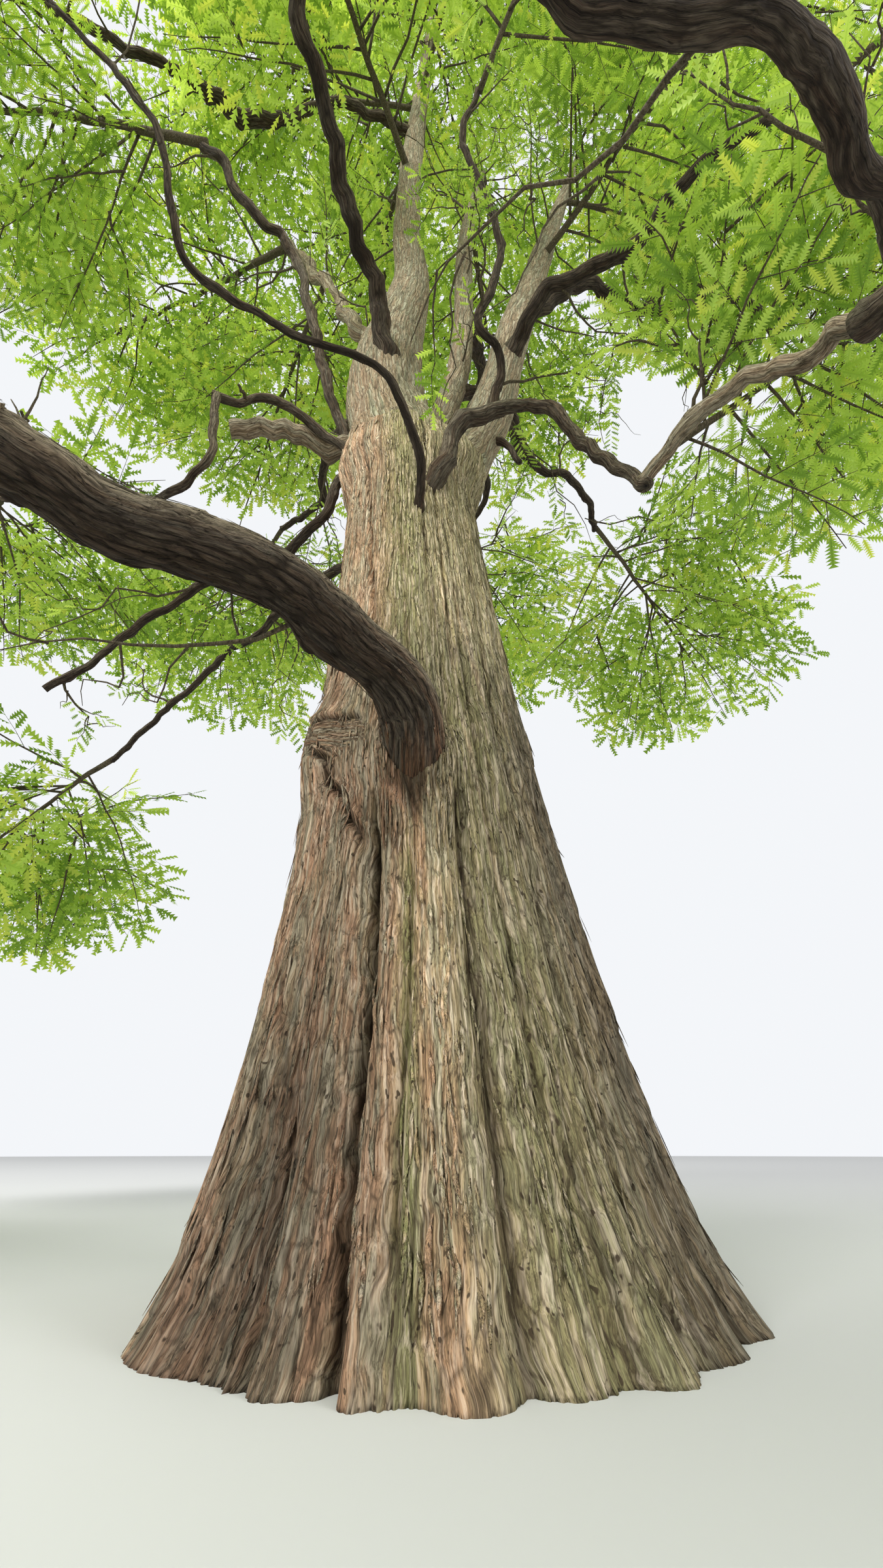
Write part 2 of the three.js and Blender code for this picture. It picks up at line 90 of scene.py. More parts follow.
# Creases in the flutes: azimuth at the ground and at the top, half width in degrees, depth, and the
# heights from and to which each runs
CREASES = [
    (-14.0, -17.5, 1.3, 0.075, -0.2, 1.75), (-9.5, -2.5, 1.2, 0.028, -0.2, 1.5),
    (11.5, 14.0, 1.8, 0.030, -0.2, 1.9), (25.5, 27.5, 1.5, 0.026, -0.2, 3.0),
    (40.0, 42.0, 1.6, 0.024, -0.2, 2.6), (-23.0, -38.0, 1.7, 0.040, -0.2, 0.9),
    (-62.0, -60.0, 2.2, 0.030, -0.2, 1.6), (60.0, 58.0, 2.0, 0.026, -0.2, 3.0),
    (-17.0, -42.0, 1.9, 0.036, 2.1, 4.2), (21.0, 20.0, 1.6, 0.028, 2.2, 4.0),
    (-3.0, -9.0, 1.4, 0.014, 2.3, 4.3), (9.0, 12.0, 1.3, 0.020, 2.9, 4.3),
    (16.0, 13.0, 2.4, 0.060, 3.75, 5.2), (81.0, 83.0, 2.5, 0.030, -0.2, 3.4),
    (105.0, 104.0, 3.0, 0.040, -0.2, 2.6), (131.0, 133.0, 3.0, 0.040, -0.2, 3.0),
    (160.0, 158.0, 3.0, 0.035, -0.2, 3.2), (185.0, 186.0, 3.0, 0.040, -0.2, 2.8),
    (212.0, 212.0, 3.0, 0.040, -0.2, 3.0), (240.0, 238.0, 3.0, 0.035, -0.2, 3.3),
    (268.0, 270.0, 3.0, 0.030, -0.2, 3.0),
]

# The healed scar: the swelling under it, its brow, and its long fold. Angles are in degrees. The brow
# rises to the left of its edge, over a span, and the fold turns by so much in each metre down.
SCAR_SWELL = {"azimuth": -46, "height": 1.93, "width": 24, "tall": 0.24, "swell": 0.075}
BROW = {"height": 1.965, "edge": -20, "span": 52, "rise": 0.15, "crest": 0.02}
WRINKLE_HEIGHT = 0.021  # from one wrinkle under the brow to the next
FOLD = {"azimuth": -50, "height": 1.88, "turn": 50, "width": 2.2, "reach": (1.3, 1.5, 1.9, 2.0)}
ROPE_WIDTH = 3.4  # degrees from one rope of bark beside the fold to the next

# The seat of the low bough: the bell that it swells in, and its lips and the hollow between them, with
# the heights between which they rise and fade. The lips spread from one angle to another.
SEAT = {
    "azimuth": -2, "height": 1.8, "width": 14, "below": 0.26, "above": 0.14, "swell": 0.08, "lip": 0.03,
    "hollow": 0.035, "lips_reach": (1.32, 1.58, 1.75, 2.0), "hollow_reach": (1.4, 1.6, 1.8, 2.0),
    "spread": (2.5, 11.0), "spread_reach": (1.4, 1.66),
}

# Pale strips of bare inner bark: azimuth at the top and the foot, upper and lower height, half width
PALE_STREAKS = [(20.5, 29, 2.0, 1.0, 1.1), (29, 35, 2.8, 2.0, 1.1), (16, 21, 3.0, 2.2, 0.7)]
STRIP_LENGTH, STRIP_DEPTH = 0.36, 0.02  # of the strips of bark
STRIP_COLUMNS = 231  # of them round the trunk
GRAIN_RADIUS = 0.62  # at which the strands of the trunk are as wide as those of a limb
TRUNK_COLUMNS = 790  # of the mesh, closer together at the front
TRUNK_SECTIONS = [0.0, 1.3, 2.8, TRUNK_HEIGHT]
SECTION_ROWS = 92
SEAM_SINKS = [0.008, 0.0004]  # how deep a section's two rows past its end lie under the next section


def heading(azimuth, elevation=0.0):
    """The unit vectors of azimuths and elevations in degrees: 0 is the front, -Y, and 90 the right, +X."""
    turn, rise = np.radians(azimuth), np.radians(elevation)
    return np.stack([np.sin(turn) * np.cos(rise), -np.cos(turn) * np.cos(rise), np.sin(rise) + 0 * turn], -1)


def hump(value, middle, width):
    """A bell of height 1: e to the power of minus the square of the distance in widths."""
    return np.exp(-(((value - middle) / width) ** 2))


def turned_from(azimuth, middle):
    """Degrees from one azimuth round to another, between -180 and 180."""
    return (azimuth - middle + 540) % 360 - 180


def ramp(value, low, high):
    """Rises from 0 at low to 1 at high along the curve 3t²-2t³."""
    t = np.clip((value - low) / (high - low), 0, 1)
    return t * t * (3 - 2 * t)


def between(value, start, full, fall, end):
    """Rises from 0 at start to 1 at full and falls to 0 again from fall to end, along the same curve."""
    return ramp(value, start, full) * (1 - ramp(value, fall, end))


def noise(u, v, columns, seed):
    """Value noise: a random number from 0 to 1 at every whole u and v, repeating in u after so many
    columns, joined by the curve 3t²-2t³."""
    columns = int(columns)
    i, j = np.floor(u).astype(int), np.floor(v).astype(int)
    s, t = ramp(u - i, 0, 1), ramp(v - j, 0, 1)
    table = np.random.default_rng(seed).random((columns, 256))
    here, after = i % columns, (i + 1) % columns
    low = table[here, j % 256] * (1 - s) + table[after, j % 256] * s
    high = table[here, (j + 1) % 256] * (1 - s) + table[after, (j + 1) % 256] * s
    return low * (1 - t) + high * t


def plates(u, v, columns, seed):
    """Cells round the middles of a lattice that repeats in u, each middle moved at random. For each point:
    how much further the second nearest middle lies than the nearest, and the nearest cell's random number
    and distance along it, from -0.9 at its lower end to 0.9."""
    i, j = np.floor(u).astype(int), np.floor(v).astype(int)
    table = np.random.default_rng(seed).random((columns, 256, 3))
    nearest, second = np.full(u.shape, 9.0), np.full(u.shape, 9.0)
    number, beyond = np.zeros(u.shape), np.zeros(u.shape)
    for across in (-1, 0, 1):
        for along in (-1, 0, 1):
            cell = table[(i + across) % columns, (j + along) % 256]
            aside = i + across + 0.1 + 0.8 * cell[..., 0] - u
            ahead = j + along + 0.1 + 0.8 * cell[..., 1] - v
            distance = np.hypot(aside, ahead)
            nearer = distance < nearest
            second = np.where(nearer, nearest, np.minimum(second, distance))
            number, beyond = np.where(nearer, cell[..., 2], number), np.where(nearer, -ahead, beyond)
            nearest = np.minimum(nearest, distance)
    return second - nearest, number, beyond


def bark_relief(around, along, columns, strip, seed):
    """Height, painted shade and tone of bark at shares round a limb and metres along it. Cords of noise run
    along it. Long plates lie over them, bent aside by slower noise, each a little higher or lower than the
    next, with a crack between them; the lower ends of some stand away. The shade is painted dark into the
    cracks and into the valleys between the cords."""
    quarter, third = max(2, columns // 4), max(3, columns // 3)
    bend = 2.4 * noise(around * quarter, along / strip / 2.5, quarter, seed)
    cords = noise(around * third + 0.7 * bend, along / strip / 4, third, seed + 1)
    gap, tone, beyond = plates(around * columns + bend, along / strip + 0.35 * bend, columns, seed + 2)
    crack = 1 - ramp(gap, 0.02, 0.3)
    lifted = ramp(tone, 0.55, 0.95) * ramp(-beyond, -0.1, 0.6)
    height = 1.1 * (cords - 0.5) + 0.3 * tone + 0.6 * lifted - 0.42 * crack
    # Painted shade: the cracks between plates and the valleys between cords are darkened
    valley = 1 - ramp(cords, 0.05, 0.3)
    return height, np.clip(0.75 * crack * ramp(tone, 0.1, 0.7) + 0.55 * valley, 0, 1), tone


def plain_radius(z):
    """Shaft, flare and foot, each fading with height."""
    return SHAFT_RADIUS + FLARE_RADIUS * np.exp(-z / FLARE_FADE) + FOOT_RADIUS * np.exp(-z / FOOT_FADE)


def up_the_skin(z):
    """Metres up the flaring skin from the ground to a height: the sum of small slanting steps."""
    fine = np.linspace(0, TRUNK_HEIGHT + 0.2, 500)
    steps = np.hypot(np.diff(fine), np.diff(plain_radius(fine)))
    return np.interp(z, fine, np.concatenate([[0], np.cumsum(steps)]))


def trunk_radius(azimuth, z):
    """The plain radius times the ribs, plus the swelling of the scar."""
    ribs = sum(strength * hump(turned_from(azimuth, at), 0, width) for at, width, strength in RIBS)
    swelling = hump(turned_from(azimuth, SCAR_SWELL["azimuth"]), 0, SCAR_SWELL["width"])
    swelling = swelling * hump(z, SCAR_SWELL["height"], SCAR_SWELL["tall"])
    ribbed = plain_radius(z) * (1 + RIB_HEIGHT * np.exp(-z / RIB_FADE) * (ribs - RIB_MEAN))
    return ribbed + SCAR_SWELL["swell"] * swelling


def top_closing(azimuth, z):
    """How far the trunk has closed at a height, from 0 where its top begins to 1 at its end. The top is
    deepest at the front and back, by the square of the cosine."""
    deep = CROTCH_DEPTH + CROTCH_SADDLE * np.cos(np.radians(azimuth)) ** 2
    return np.clip((z - TRUNK_HEIGHT + deep) / deep, 0, 1)


def broadening(z):
    """How many times broader than deep the trunk is at a height."""
    return 1 + CROTCH_WIDEN * ramp(z, CROTCH_START, TRUNK_HEIGHT - CROTCH_DEPTH)


def crease_depth(azimuth, z):
    """Metres by which the creases sink the surface: bells across lines that wander up the flutes."""
    depth = 0 * z
    for k, (low, high, width, deep, start, end) in enumerate(CREASES):
        line = low + (high - low) * (z - start) / (end - start) + 2 * noise(0 * z, z / 0.3, 4, 60 + k) - 1
        reach = between(z, start, start + 0.15, end - 0.45, end)
        depth = depth + deep * reach * hump(turned_from(azimuth, line), 0, width)
    return depth


def scar(azimuth, z):
    """Height, painted shade, smoothness and distance under the brow of the healed scar: a crease like an
    eyebrow, fine wrinkles stacked under it, and a deep fold with ropes of bark beside it that runs down to
    the right from its left end. The shade is painted into the crease, the fold and the troughs of the
    wrinkles and ropes."""
    left = np.clip((BROW["edge"] - azimuth) / BROW["span"], 0, 1.2)
    brow = BROW["height"] + BROW["rise"] * left**1.5 + BROW["crest"] * hump(azimuth, -40, 10)
    under = brow - z
    across = between(azimuth, -72, -62, -30, -20)
    crease = hump(under, 0, 0.01) * across
    lip = hump(under, -0.03, 0.03) * across
    bent = 9 * noise((azimuth + 180) / 9, z / 0.2, 40, 71)
    waves = np.sin(2 * np.pi * under / WRINKLE_HEIGHT + bent)
    ragged = noise((azimuth + 180) / 1.2, z / 0.05, 300, 73) + noise((azimuth + 180) / 5, z / 0.03, 72, 74)
    oval = np.hypot((azimuth + 39) / 19, (under - 0.08) / 0.1) + 0.4 * ragged
    patch = ramp(under, 0.0, 0.015) * (1 - ramp(oval, 1.0, 1.35))
    fold_line = FOLD["azimuth"] + (FOLD["height"] - z) * FOLD["turn"] + 6 * noise(0 * z, z / 0.09, 4, 72)
    reach = between(z, *FOLD["reach"])
    fold = hump(azimuth, fold_line, FOLD["width"]) * reach
    ropes = np.sin(2 * np.pi * (azimuth - fold_line) / ROPE_WIDTH) * hump(azimuth, fold_line + 3.5, 5) * reach
    height = 0.012 * lip - 0.028 * crease + 0.0042 * waves * patch - 0.045 * fold + 0.011 * ropes
    # Painted shade: the crease, the fold and the troughs of the wrinkles and ropes are darkened
    furrow = crease + 0.85 * fold + 0.75 * patch * ramp(-waves, 0.0, 0.9) + 0.5 * ramp(-ropes, 0.15, 0.8)
    return height, np.clip(furrow, 0, 1), patch, under


def seat(azimuth, z):
    """Height, hollow and lips where the low bough comes out: a bell round it, two lips that run down from
    its sides and draw together, and the hollow between them."""
    aside = turned_from(azimuth, SEAT["azimuth"])
    tall = np.where(z < SEAT["height"], SEAT["below"], SEAT["above"])
    bell = hump(aside, 0, SEAT["width"]) * hump(z, SEAT["height"], tall)
    closed, open_by = SEAT["spread"][0], SEAT["spread"][1] - SEAT["spread"][0]
    spread = closed + open_by * ramp(z, *SEAT["spread_reach"])
    lips = (hump(aside, -spread, 2.4) + hump(aside, spread + 1, 3.2)) * between(z, *SEAT["lips_reach"])
    hollow = hump(aside, 0, 0.75 * spread) * between(z, *SEAT["hollow_reach"])
    return SEAT["swell"] * bell + SEAT["lip"] * lips - SEAT["hollow"] * hollow, hollow, lips


def pale_streaks(azimuth, z):
    """Long pale strips of bare inner bark: bells across slanting lines that fade at their ends."""
    total = 0 * z
    for top, foot, high, low, width in PALE_STREAKS:
        line = foot + (top - foot) * (z - low) / (high - low) + 1.2 * noise(0 * z, z / 0.12, 4, 81) - 0.6
        total = total + between(z, low, low + 0.2, high - 0.2, high) * hump(azimuth, line, width)
    return total


def wall_faces(rows, columns):
    """Triangles of a wall of so many rings, of so many points each: two for every four neighbours."""
    here, after = np.arange(columns), (np.arange(columns) + 1) % columns
    row = np.arange(rows - 1)[:, None] * columns
    a, b, c, d = row + here, row + after, row + columns + after, row + columns + here
    return np.stack([np.stack([a, b, c], -1), np.stack([a, c, d], -1)], 2).reshape(-1, 3)


def skin(rings):
    """Vertices and triangles of a closed skin over rings of points, given as an array of rows, columns
    and coordinates, with a flat fan over either end. Rings run counterclockwise seen from the last."""
    rows, columns = rings.shape[:2]
    ends = np.stack([rings[0].mean(0), rings[-1].mean(0)])
    points = np.concatenate([rings.reshape(-1, 3), ends])
    here, after = np.arange(columns), (np.arange(columns) + 1) % columns
    top = (rows - 1) * columns
    under = np.stack([0 * here + rows * columns, after, here], -1)
    over = np.stack([0 * here + rows * columns + 1, top + here, top + after], -1)
    return points, np.concatenate([wall_faces(rows, columns), under, over])


def mesh_piece(name, points, faces, materials, caps=0, tints=None, **values):
    """An object from arrays: points, triangles of which the last few are flat caps, the tint of each
    triangle, and values at the points."""
    mesh = bpy.data.meshes.new(name)
    mesh.vertices.add(len(points))
    mesh.vertices.foreach_set("co", np.ascontiguousarray(points, np.float32).ravel())
    mesh.loops.add(faces.size)
    mesh.loops.foreach_set("vertex_index", np.ascontiguousarray(faces, np.int32).ravel())
    mesh.polygons.add(len(faces))
    mesh.polygons.foreach_set("loop_start", np.arange(0, faces.size, 3, dtype=np.int32))
    mesh.polygons.foreach_set("use_smooth", np.arange(len(faces)) < len(faces) - caps)
    for material in materials:
        mesh.materials.append(material)
    if tints is not None:
        mesh.polygons.foreach_set("material_index", np.ascontiguousarray(tints, np.int32))
    for key, value in values.items():
        kind, field = ("FLOAT_VECTOR", "vector") if value.ndim == 2 else ("FLOAT", "value")
        mesh.attributes.new(key, kind, "POINT").data.foreach_set(field, np.float32(value).ravel())
    mesh.update(calc_edges=True)
    piece = bpy.data.objects.new(name, mesh)
    bpy.context.scene.collection.objects.link(piece)
    return piece


def node(tree, kind, inputs=(), **settings):
    """A shader node with its settings, whose sockets are set or linked by name or number."""
    made = tree.nodes.new(kind)
    for key, value in settings.items():
        setattr(made, key, value)
    for key, value in dict(inputs).items():
        if isinstance(value, bpy.types.NodeSocket):
            tree.links.new(value, made.inputs[key])
        else:
            made.inputs[key].default_value = value
    return made


def mixed(tree, share, first, second, blend="MIX"):
    """The colour between two colours, by a share."""
    inputs = {0: share, 6: first, 7: second}
    return node(tree, "ShaderNodeMix", inputs, data_type="RGBA", blend_type=blend).outputs[2]


def rescaled(tree, value, low, high, to_low=0.0, to_high=1.0):
    """A value that runs from one number to another while its input runs from low to high."""
    inputs = {0: value, 1: low, 2: high, 3: to_low, 4: to_high}
    return node(tree, "ShaderNodeMapRange", inputs).outputs[0]


def fibres(tree, grain, across, along, detail=4.0):
    """Noise stretched along the grain, so many cells a metre across and along it."""
    stretched = node(tree, "ShaderNodeMapping", {0: grain, 3: (across, across, along)}).outputs[0]
    return node(tree, "ShaderNodeTexNoise", {0: stretched, 2: 1.0, 3: detail, 4: 0.6}).outputs[0]


def worked_out(tree, operation, *numbers):
    """What an operation of arithmetic makes of its numbers."""
    return node(tree, "ShaderNodeMath", dict(enumerate(numbers)), operation=operation).outputs[0]


def bark_material(name, tan, grey, warm, dark, film, pale, bump=1.0):
    """Bark in fibrous strips. Streak by streak it is tan or grey, warm where the red value says and filmed
    over where the green value says, with pale raised strands. The lines between strands, hairs and cracks
    are dark. Short dark dashes are painted shadows under the lifted edges of plates, painted shade darkens
    the furrows, and the whole colour is multiplied by the painted light value. Strands and hairs stand in
    relief."""
    tan, grey, warm, dark, film, pale = ((*colour, 1) for colour in (tan, grey, warm, dark, film, pale))
    material = bpy.data.materials.new(name)
    material.use_nodes = True
    tree = material.node_tree
    shader = tree.nodes["Principled BSDF"]

    def value(key):
        """What the points of the mesh say under this name."""
        return node(tree, "ShaderNodeAttribute", attribute_name=key).outputs["Fac"]

    grain = node(tree, "ShaderNodeAttribute", attribute_name="grain").outputs["Vector"]
    bend = node(tree, "ShaderNodeTexNoise", {0: grain, 2: 5.0, 3: 2.0}).outputs[1]
    bent = node(tree, "ShaderNodeVectorMath", {0: bend, 1: (0.05, 0.05, 0.2), 2: grain},
                operation="MULTIPLY_ADD").outputs[0]
    streaks, strands = fibres(tree, bent, 48, 2.2), fibres(tree, bent, 95, 4.5)
    hairs, nick_shadows = fibres(tree, bent, 330, 13, 2.0), fibres(tree, bent, 95, 30, 1.0)
    patches = fibres(tree, grain, 8, 2, 2.0)
    plates_at = node(tree, "ShaderNodeMapping", {0: bent, 3: (44, 44, 5)}).outputs[0]
    cracks = node(tree, "ShaderNodeTexVoronoi", {0: plates_at, 2: 1.0}, feature="DISTANCE_TO_EDGE").outputs[0]
    blotches = rescaled(tree, worked_out(tree, "ADD", streaks, patches), 1.12, 0.88)
    filmed = rescaled(tree, strands, 0.65, 0.4, 0.4, 1.0)
    line = worked_out(tree, "COMPARE", strands, 0.47, 0.02)
    colour = mixed(tree, rescaled(tree, streaks, 0.42, 0.58), tan, grey)
    for share, coat in (
        (worked_out(tree, "MULTIPLY", value("red"), blotches), warm),
        (worked_out(tree, "MULTIPLY", value("green"), filmed), film),
        (rescaled(tree, value("tone"), 0.0, 1.0, 0.3, 0.0), dark),
        (rescaled(tree, strands, 0.5, 0.68, 0.0, 0.6), pale),
        (worked_out(tree, "MULTIPLY", line, 0.5), dark),
        (rescaled(tree, strands, 0.42, 0.3, 0.0, 0.7), dark),
        (rescaled(tree, hairs, 0.55, 0.35, 0.0, 0.45), dark),
        (rescaled(tree, cracks, 0.06, 0.01, 0.0, 0.5), dark),
        # Painted shadows: short dark dashes under the lifted edges of plates
        (rescaled(tree, nick_shadows, 0.33, 0.28, 0.0, 0.9), dark),
        # Painted shade in the furrows, creases and hollows, by the points' shade value
        (rescaled(tree, value("furrow"), 0.15, 0.95, 0.0, 0.92), dark),
    ):
        colour = mixed(tree, share, colour, coat)
    # Painted light and shade: the colour times the light value of the points
    colour = mixed(tree, 1.0, colour, value("light"), "MULTIPLY")
    tree.links.new(colour, shader.inputs["Base Color"])
    shader.inputs["Roughness"].default_value = 0.92
    shader.inputs["Specular IOR Level"].default_value = 0.2
    raised = worked_out(tree, "MULTIPLY_ADD", rescaled(tree, cracks, 0.0, 0.12), 0.35, strands)
    strand = node(tree, "ShaderNodeBump", {"Strength": bump, "Distance": 0.014, "Height": raised})
    hair = node(tree, "ShaderNodeBump", {"Strength": 0.8 * bump, "Distance": 0.003, "Height": hairs,
                                         "Normal": strand.outputs[0]})
    tree.links.new(hair.outputs[0], shader.inputs["Normal"])
    return material


trunk_bark = bark_material(
    "trunk_bark", tan=(0.44, 0.325, 0.195), grey=(0.36, 0.31, 0.215), warm=(0.52, 0.285, 0.175),
    dark=(0.045, 0.03, 0.018), film=(0.29, 0.285, 0.12), pale=(0.74, 0.61, 0.46),
)


def front_spaced(count):
    """Azimuths all the way round, closer together at the front: a plain turn less a sine."""
    turn = np.arange(count) * 360 / count - 180
    return turn - 22 * np.sin(np.radians(turn))


def close_rows(low, high):
    """Heights from one to another, closer together at the scar."""
    fine = np.linspace(low, high, 600)
    density = 1 + 1.5 * hump(fine, SCAR_SWELL["height"] - 0.06, 0.17)
    share = np.concatenate([[0], np.cumsum((density[1:] + density[:-1]) / 2)])
    return np.interp(np.linspace(0, share[-1], SECTION_ROWS + 1), share, fine)


def trunk_values(azimuth, z, hollow, creases, scar_furrow, furrow, healed):
    """What colours the trunk's bark: painted shade in its furrows, creases, scar and hollow, algae, warm new
    bark, and a painted light value that lightens or darkens whole patches. Each is a sum of patches, and a
    patch is a bell round the trunk times a ramp up it."""
    # Painted shade: darker in the furrows of the strips, the creases, the scar's crease and fold, and the
    # hollow under the seat
    dark = np.clip(0.8 * furrow * (1 - healed) + 9 * creases + scar_furrow + 0.85 * hollow, 0, 1)
    bare = pale_streaks(azimuth, z)
    low = 1 - ramp(z, 1.9, 2.6)
    front = 1 - ramp(np.abs(azimuth), 80, 115)

    # Algae on the low right side, down the flute under the seat, up the shaft and at the back
    green = (0.75 * hump(azimuth, 24, 22) * low + 0.95 * hump(azimuth, -5, 2.5) * (1 - ramp(z, 1.2, 1.6))
             + (0.5 + 0.4 * hump(azimuth, -3, 12)) * ramp(z, 1.7, 2.5) * ramp(azimuth, -30, -14)
             + 0.3 * ramp(np.abs(azimuth), 90, 140))

    # Warm bark on the left side, down the rib under the seat and in its hollow
    red = (0.8 * (1 - ramp(azimuth, -12, 8)) * (1 - 0.2 * ramp(z, 1.8, 2.6))
           + 0.8 * hump(azimuth, 2, 5) * (1 - ramp(z, 1.3, 1.8)) + 1.2 * hollow)

    # Painted light and shade: lighter up the shaft and on the rib under the seat, darker at the right, the
    # low left and in the hollow; the bare strips, which are paler bark, are lighter too
    light = (1.08 + (0.45 + 0.45 * front) * ramp(z, 2.1, 3.1)
             - (0.3 * ramp(azimuth, 12, 50) * low + 0.28 * ramp(azimuth, 40, 62)) * front
             - 0.75 * hump(azimuth, -34, 20) * (1 - ramp(z, 0.3, 1.3))
             + 0.75 * hump(azimuth, 1, 9) * hump(z, 1.1, 0.55) + 0.5 * bare - 0.2 * hollow)
    green, red = np.clip(green - bare, 0, 1), np.clip(red - bare, 0, 1)
    return {"furrow": np.clip(dark - 0.5 * bare, 0, 1), "green": green, "red": red, "light": light}


def trunk_section(name, low, high):
    """A closed length of the trunk between two heights, with its bark in relief: the plain radius less the
    creases, plus strips, scar and seat, closed at the top. Two rows at either end go on a little under
    the skin of the next length. Returns its rings, its colours, and how likely each spot bears a flake."""
    step = (high - low) / SECTION_ROWS
    heights = close_rows(low, high)
    sink = 0 * heights
    if low > 0:
        heights, sink = np.append([low - 2 * step, low - step], heights), np.append(SEAM_SINKS, sink)
    if high < TRUNK_HEIGHT:
        heights, sink = np.append(heights, [high + step, high + 2 * step]), np.append(sink, SEAM_SINKS[::-1])
    azimuth, z = np.meshgrid(front_spaced(TRUNK_COLUMNS), heights)
    along = up_the_skin(z)
    close = top_closing(azimuth, z)
    strip_height, furrow, tone = bark_relief((azimuth + 180) / 360, along, STRIP_COLUMNS, STRIP_LENGTH, 11)
    scar_height, scar_furrow, healed, under = scar(azimuth, z)
    seat_height, hollow, lips = seat(azimuth, z)
    creases = crease_depth(azimuth, z)
    depth = STRIP_DEPTH * (0.6 + 0.4 * np.exp(-z / 1.5)) * (1 + 0.8 * lips)
    radius = (trunk_radius(azimuth, z) - creases + depth * (1 - 0.95 * healed) * strip_height + scar_height
              + seat_height)
    radius = radius * np.sqrt(1 - CROTCH_CLOSE * close**2) - sink[:, None]
    rings = heading(azimuth) * radius[..., None]
    rings[..., 0] *= broadening(z)
    rings += z[..., None] * TRUNK_LEAN
    grain = heading(azimuth) * GRAIN_RADIUS
    grain[..., 2] = along

    # On the healed scar the strands lie level, along its wrinkles
    level = np.stack([1.4 * under, 0 * z, np.radians(azimuth) * GRAIN_RADIUS + 0.5 * under], -1)
    grain = np.where(healed[..., None] > 0.5, level, grain)
    values = trunk_values(azimuth, z, hollow, creases, scar_furrow, furrow, healed)
    values["tone"] = tone
    points, faces = skin(rings)
    capped = {key: np.append(value.ravel(), [1.0, 1.0]) for key, value in values.items()}
    capped["grain"] = np.concatenate([grain.reshape(-1, 3), points[-2:]])
    piece = mesh_piece(name, points, faces, [trunk_bark], 2 * TRUNK_COLUMNS, **capped)
    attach(piece, "root")
    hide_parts("trunk")

    # Flakes are likeliest low on the front, where the bark is lifted or broken
    weight = (0.15 + ramp(tone, 0.3, 0.9) + 22 * lips + 4 * scar_furrow * (1 - healed)) * (1 - close)
    weight = weight * (sink == 0)[:, None]
    weight = weight * (0.6 + np.exp(-z / 1.2)) * (1 - 0.6 * ramp(np.abs(azimuth), 90, 120))
    return rings, values, weight


trunk_skins = []
for part, low, high in zip(("foot", "middle", "top"), TRUNK_SECTIONS, TRUNK_SECTIONS[1:]):
    trunk_skins.append(trunk_section(f"trunk_{part}", low, high))

# The loose flakes of the trunk's bark. They are thin slivers that have split off from its strips and hang
# on by one end, most of them round the scar, the seat and the foot.
FLAKE_ROWS = (4, 12)  # of the mesh, over which a flake runs
FLAKE_RINGS, FLAKE_SIDES = 5, 4
FLAKE_LEAST = 0.012  # metres long
FLAKE_COUNT = 520  # on each section of the trunk
TRUNK_FLAKES = {"width": 0.009, "stand": 0.012, "downwards": 1.0}  # the last is a share of them


def unit(vectors):
    """Vectors brought to length one."""
    return vectors / np.linalg.norm(vectors, axis=-1, keepdims=True)


def square_to(vectors, along):
    """Vectors less their part along unit vectors, brought to length one, so that they stand square."""
    return unit(vectors - (vectors * along).sum(1, keepdims=True) * along)


def closed_tubes(rings):
    """Points and triangles of many closed tubes at once, from an array of tubes, rings, sides and
    coordinates. Rings run counterclockwise seen from the last, and a fan closes either end."""
    tubes, count, sides, _ = rings.shape
    fan = np.arange(1, sides - 1)
    top = (count - 1) * sides
    over = np.stack([0 * fan + top, top + fan, top + fan + 1], -1)
    under = np.stack([0 * fan, fan + 1, fan], -1)
    one = np.concatenate([wall_faces(count, sides), over, under])
    faces = one[None] + (np.arange(tubes) * count * sides)[:, None, None]
    return rings.reshape(-1, 3), faces.reshape(-1, 3)


def flakes(rings, values, weight, count, rng, width, stand, downwards):
    """Loose flakes of bark on a skin of rings: four-sided slivers along its rows, drawn to a point at
    both ends, each bent a little aside, its free end standing away by the square of the way along."""
    rows, columns = rings.shape[:2]
    middles = rings.mean(1)
    chosen = rng.choice(rows * columns, count, p=(weight / weight.sum()).ravel())
    start, column = np.divmod(chosen, columns)
    run = rng.integers(*FLAKE_ROWS, count) * np.where(rng.random(count) < downwards, -1, 1)
    end = np.clip(start + run, 0, rows - 1)
    drift = np.clip(rng.normal(0, 1.5, count), -4, 4).round().astype(int)
    root, tip = rings[start, column], rings[end, (column + drift) % columns]
    outward = unit(root - middles[start])
    reach = np.linalg.norm(tip - root, axis=1)
    kept = reach > FLAKE_LEAST
    root, tip, outward, reach = root[kept], tip[kept], outward[kept], reach[kept]
    along = unit(tip - root)
    outward = square_to(outward, along)
    side = np.cross(outward, along)
    t = np.linspace(0, 1, FLAKE_RINGS)[None, :, None]
    lift = 0.002 + rng.uniform(0.1, 1, (len(root), 1, 1)) * stand * t**2
    bend = rng.normal(0, 0.05, (len(root), 1, 1)) * reach[:, None, None] * np.sin(np.pi * t)
    line = root[:, None] + (tip - root)[:, None] * t + outward[:, None] * lift + side[:, None] * bend
    broad = rng.uniform(0.35, 1, (len(root), 1)) * width * np.sin(np.pi * (0.06 + 0.88 * t[0, :, 0]))
    across, deep = side[:, None] * broad[..., None], outward[:, None] * 0.3 * broad[..., None]
    made = closed_tubes(np.stack([line + across, line + deep, line - across, line - deep], 2))
    each = FLAKE_RINGS * FLAKE_SIDES
    ends = {key: np.repeat(value[start[kept], column[kept]], each) for key, value in values.items()}
    # The flakes stand out of the furrows, so they get less of the painted shade
    ends["furrow"] = 0.25 * ends["furrow"]
    shift = np.stack([0 * reach, rng.random(len(root)), rng.random(len(root))], 1)
    ends["grain"] = np.repeat(shift, each, 0) + made[0]
    return made, ends


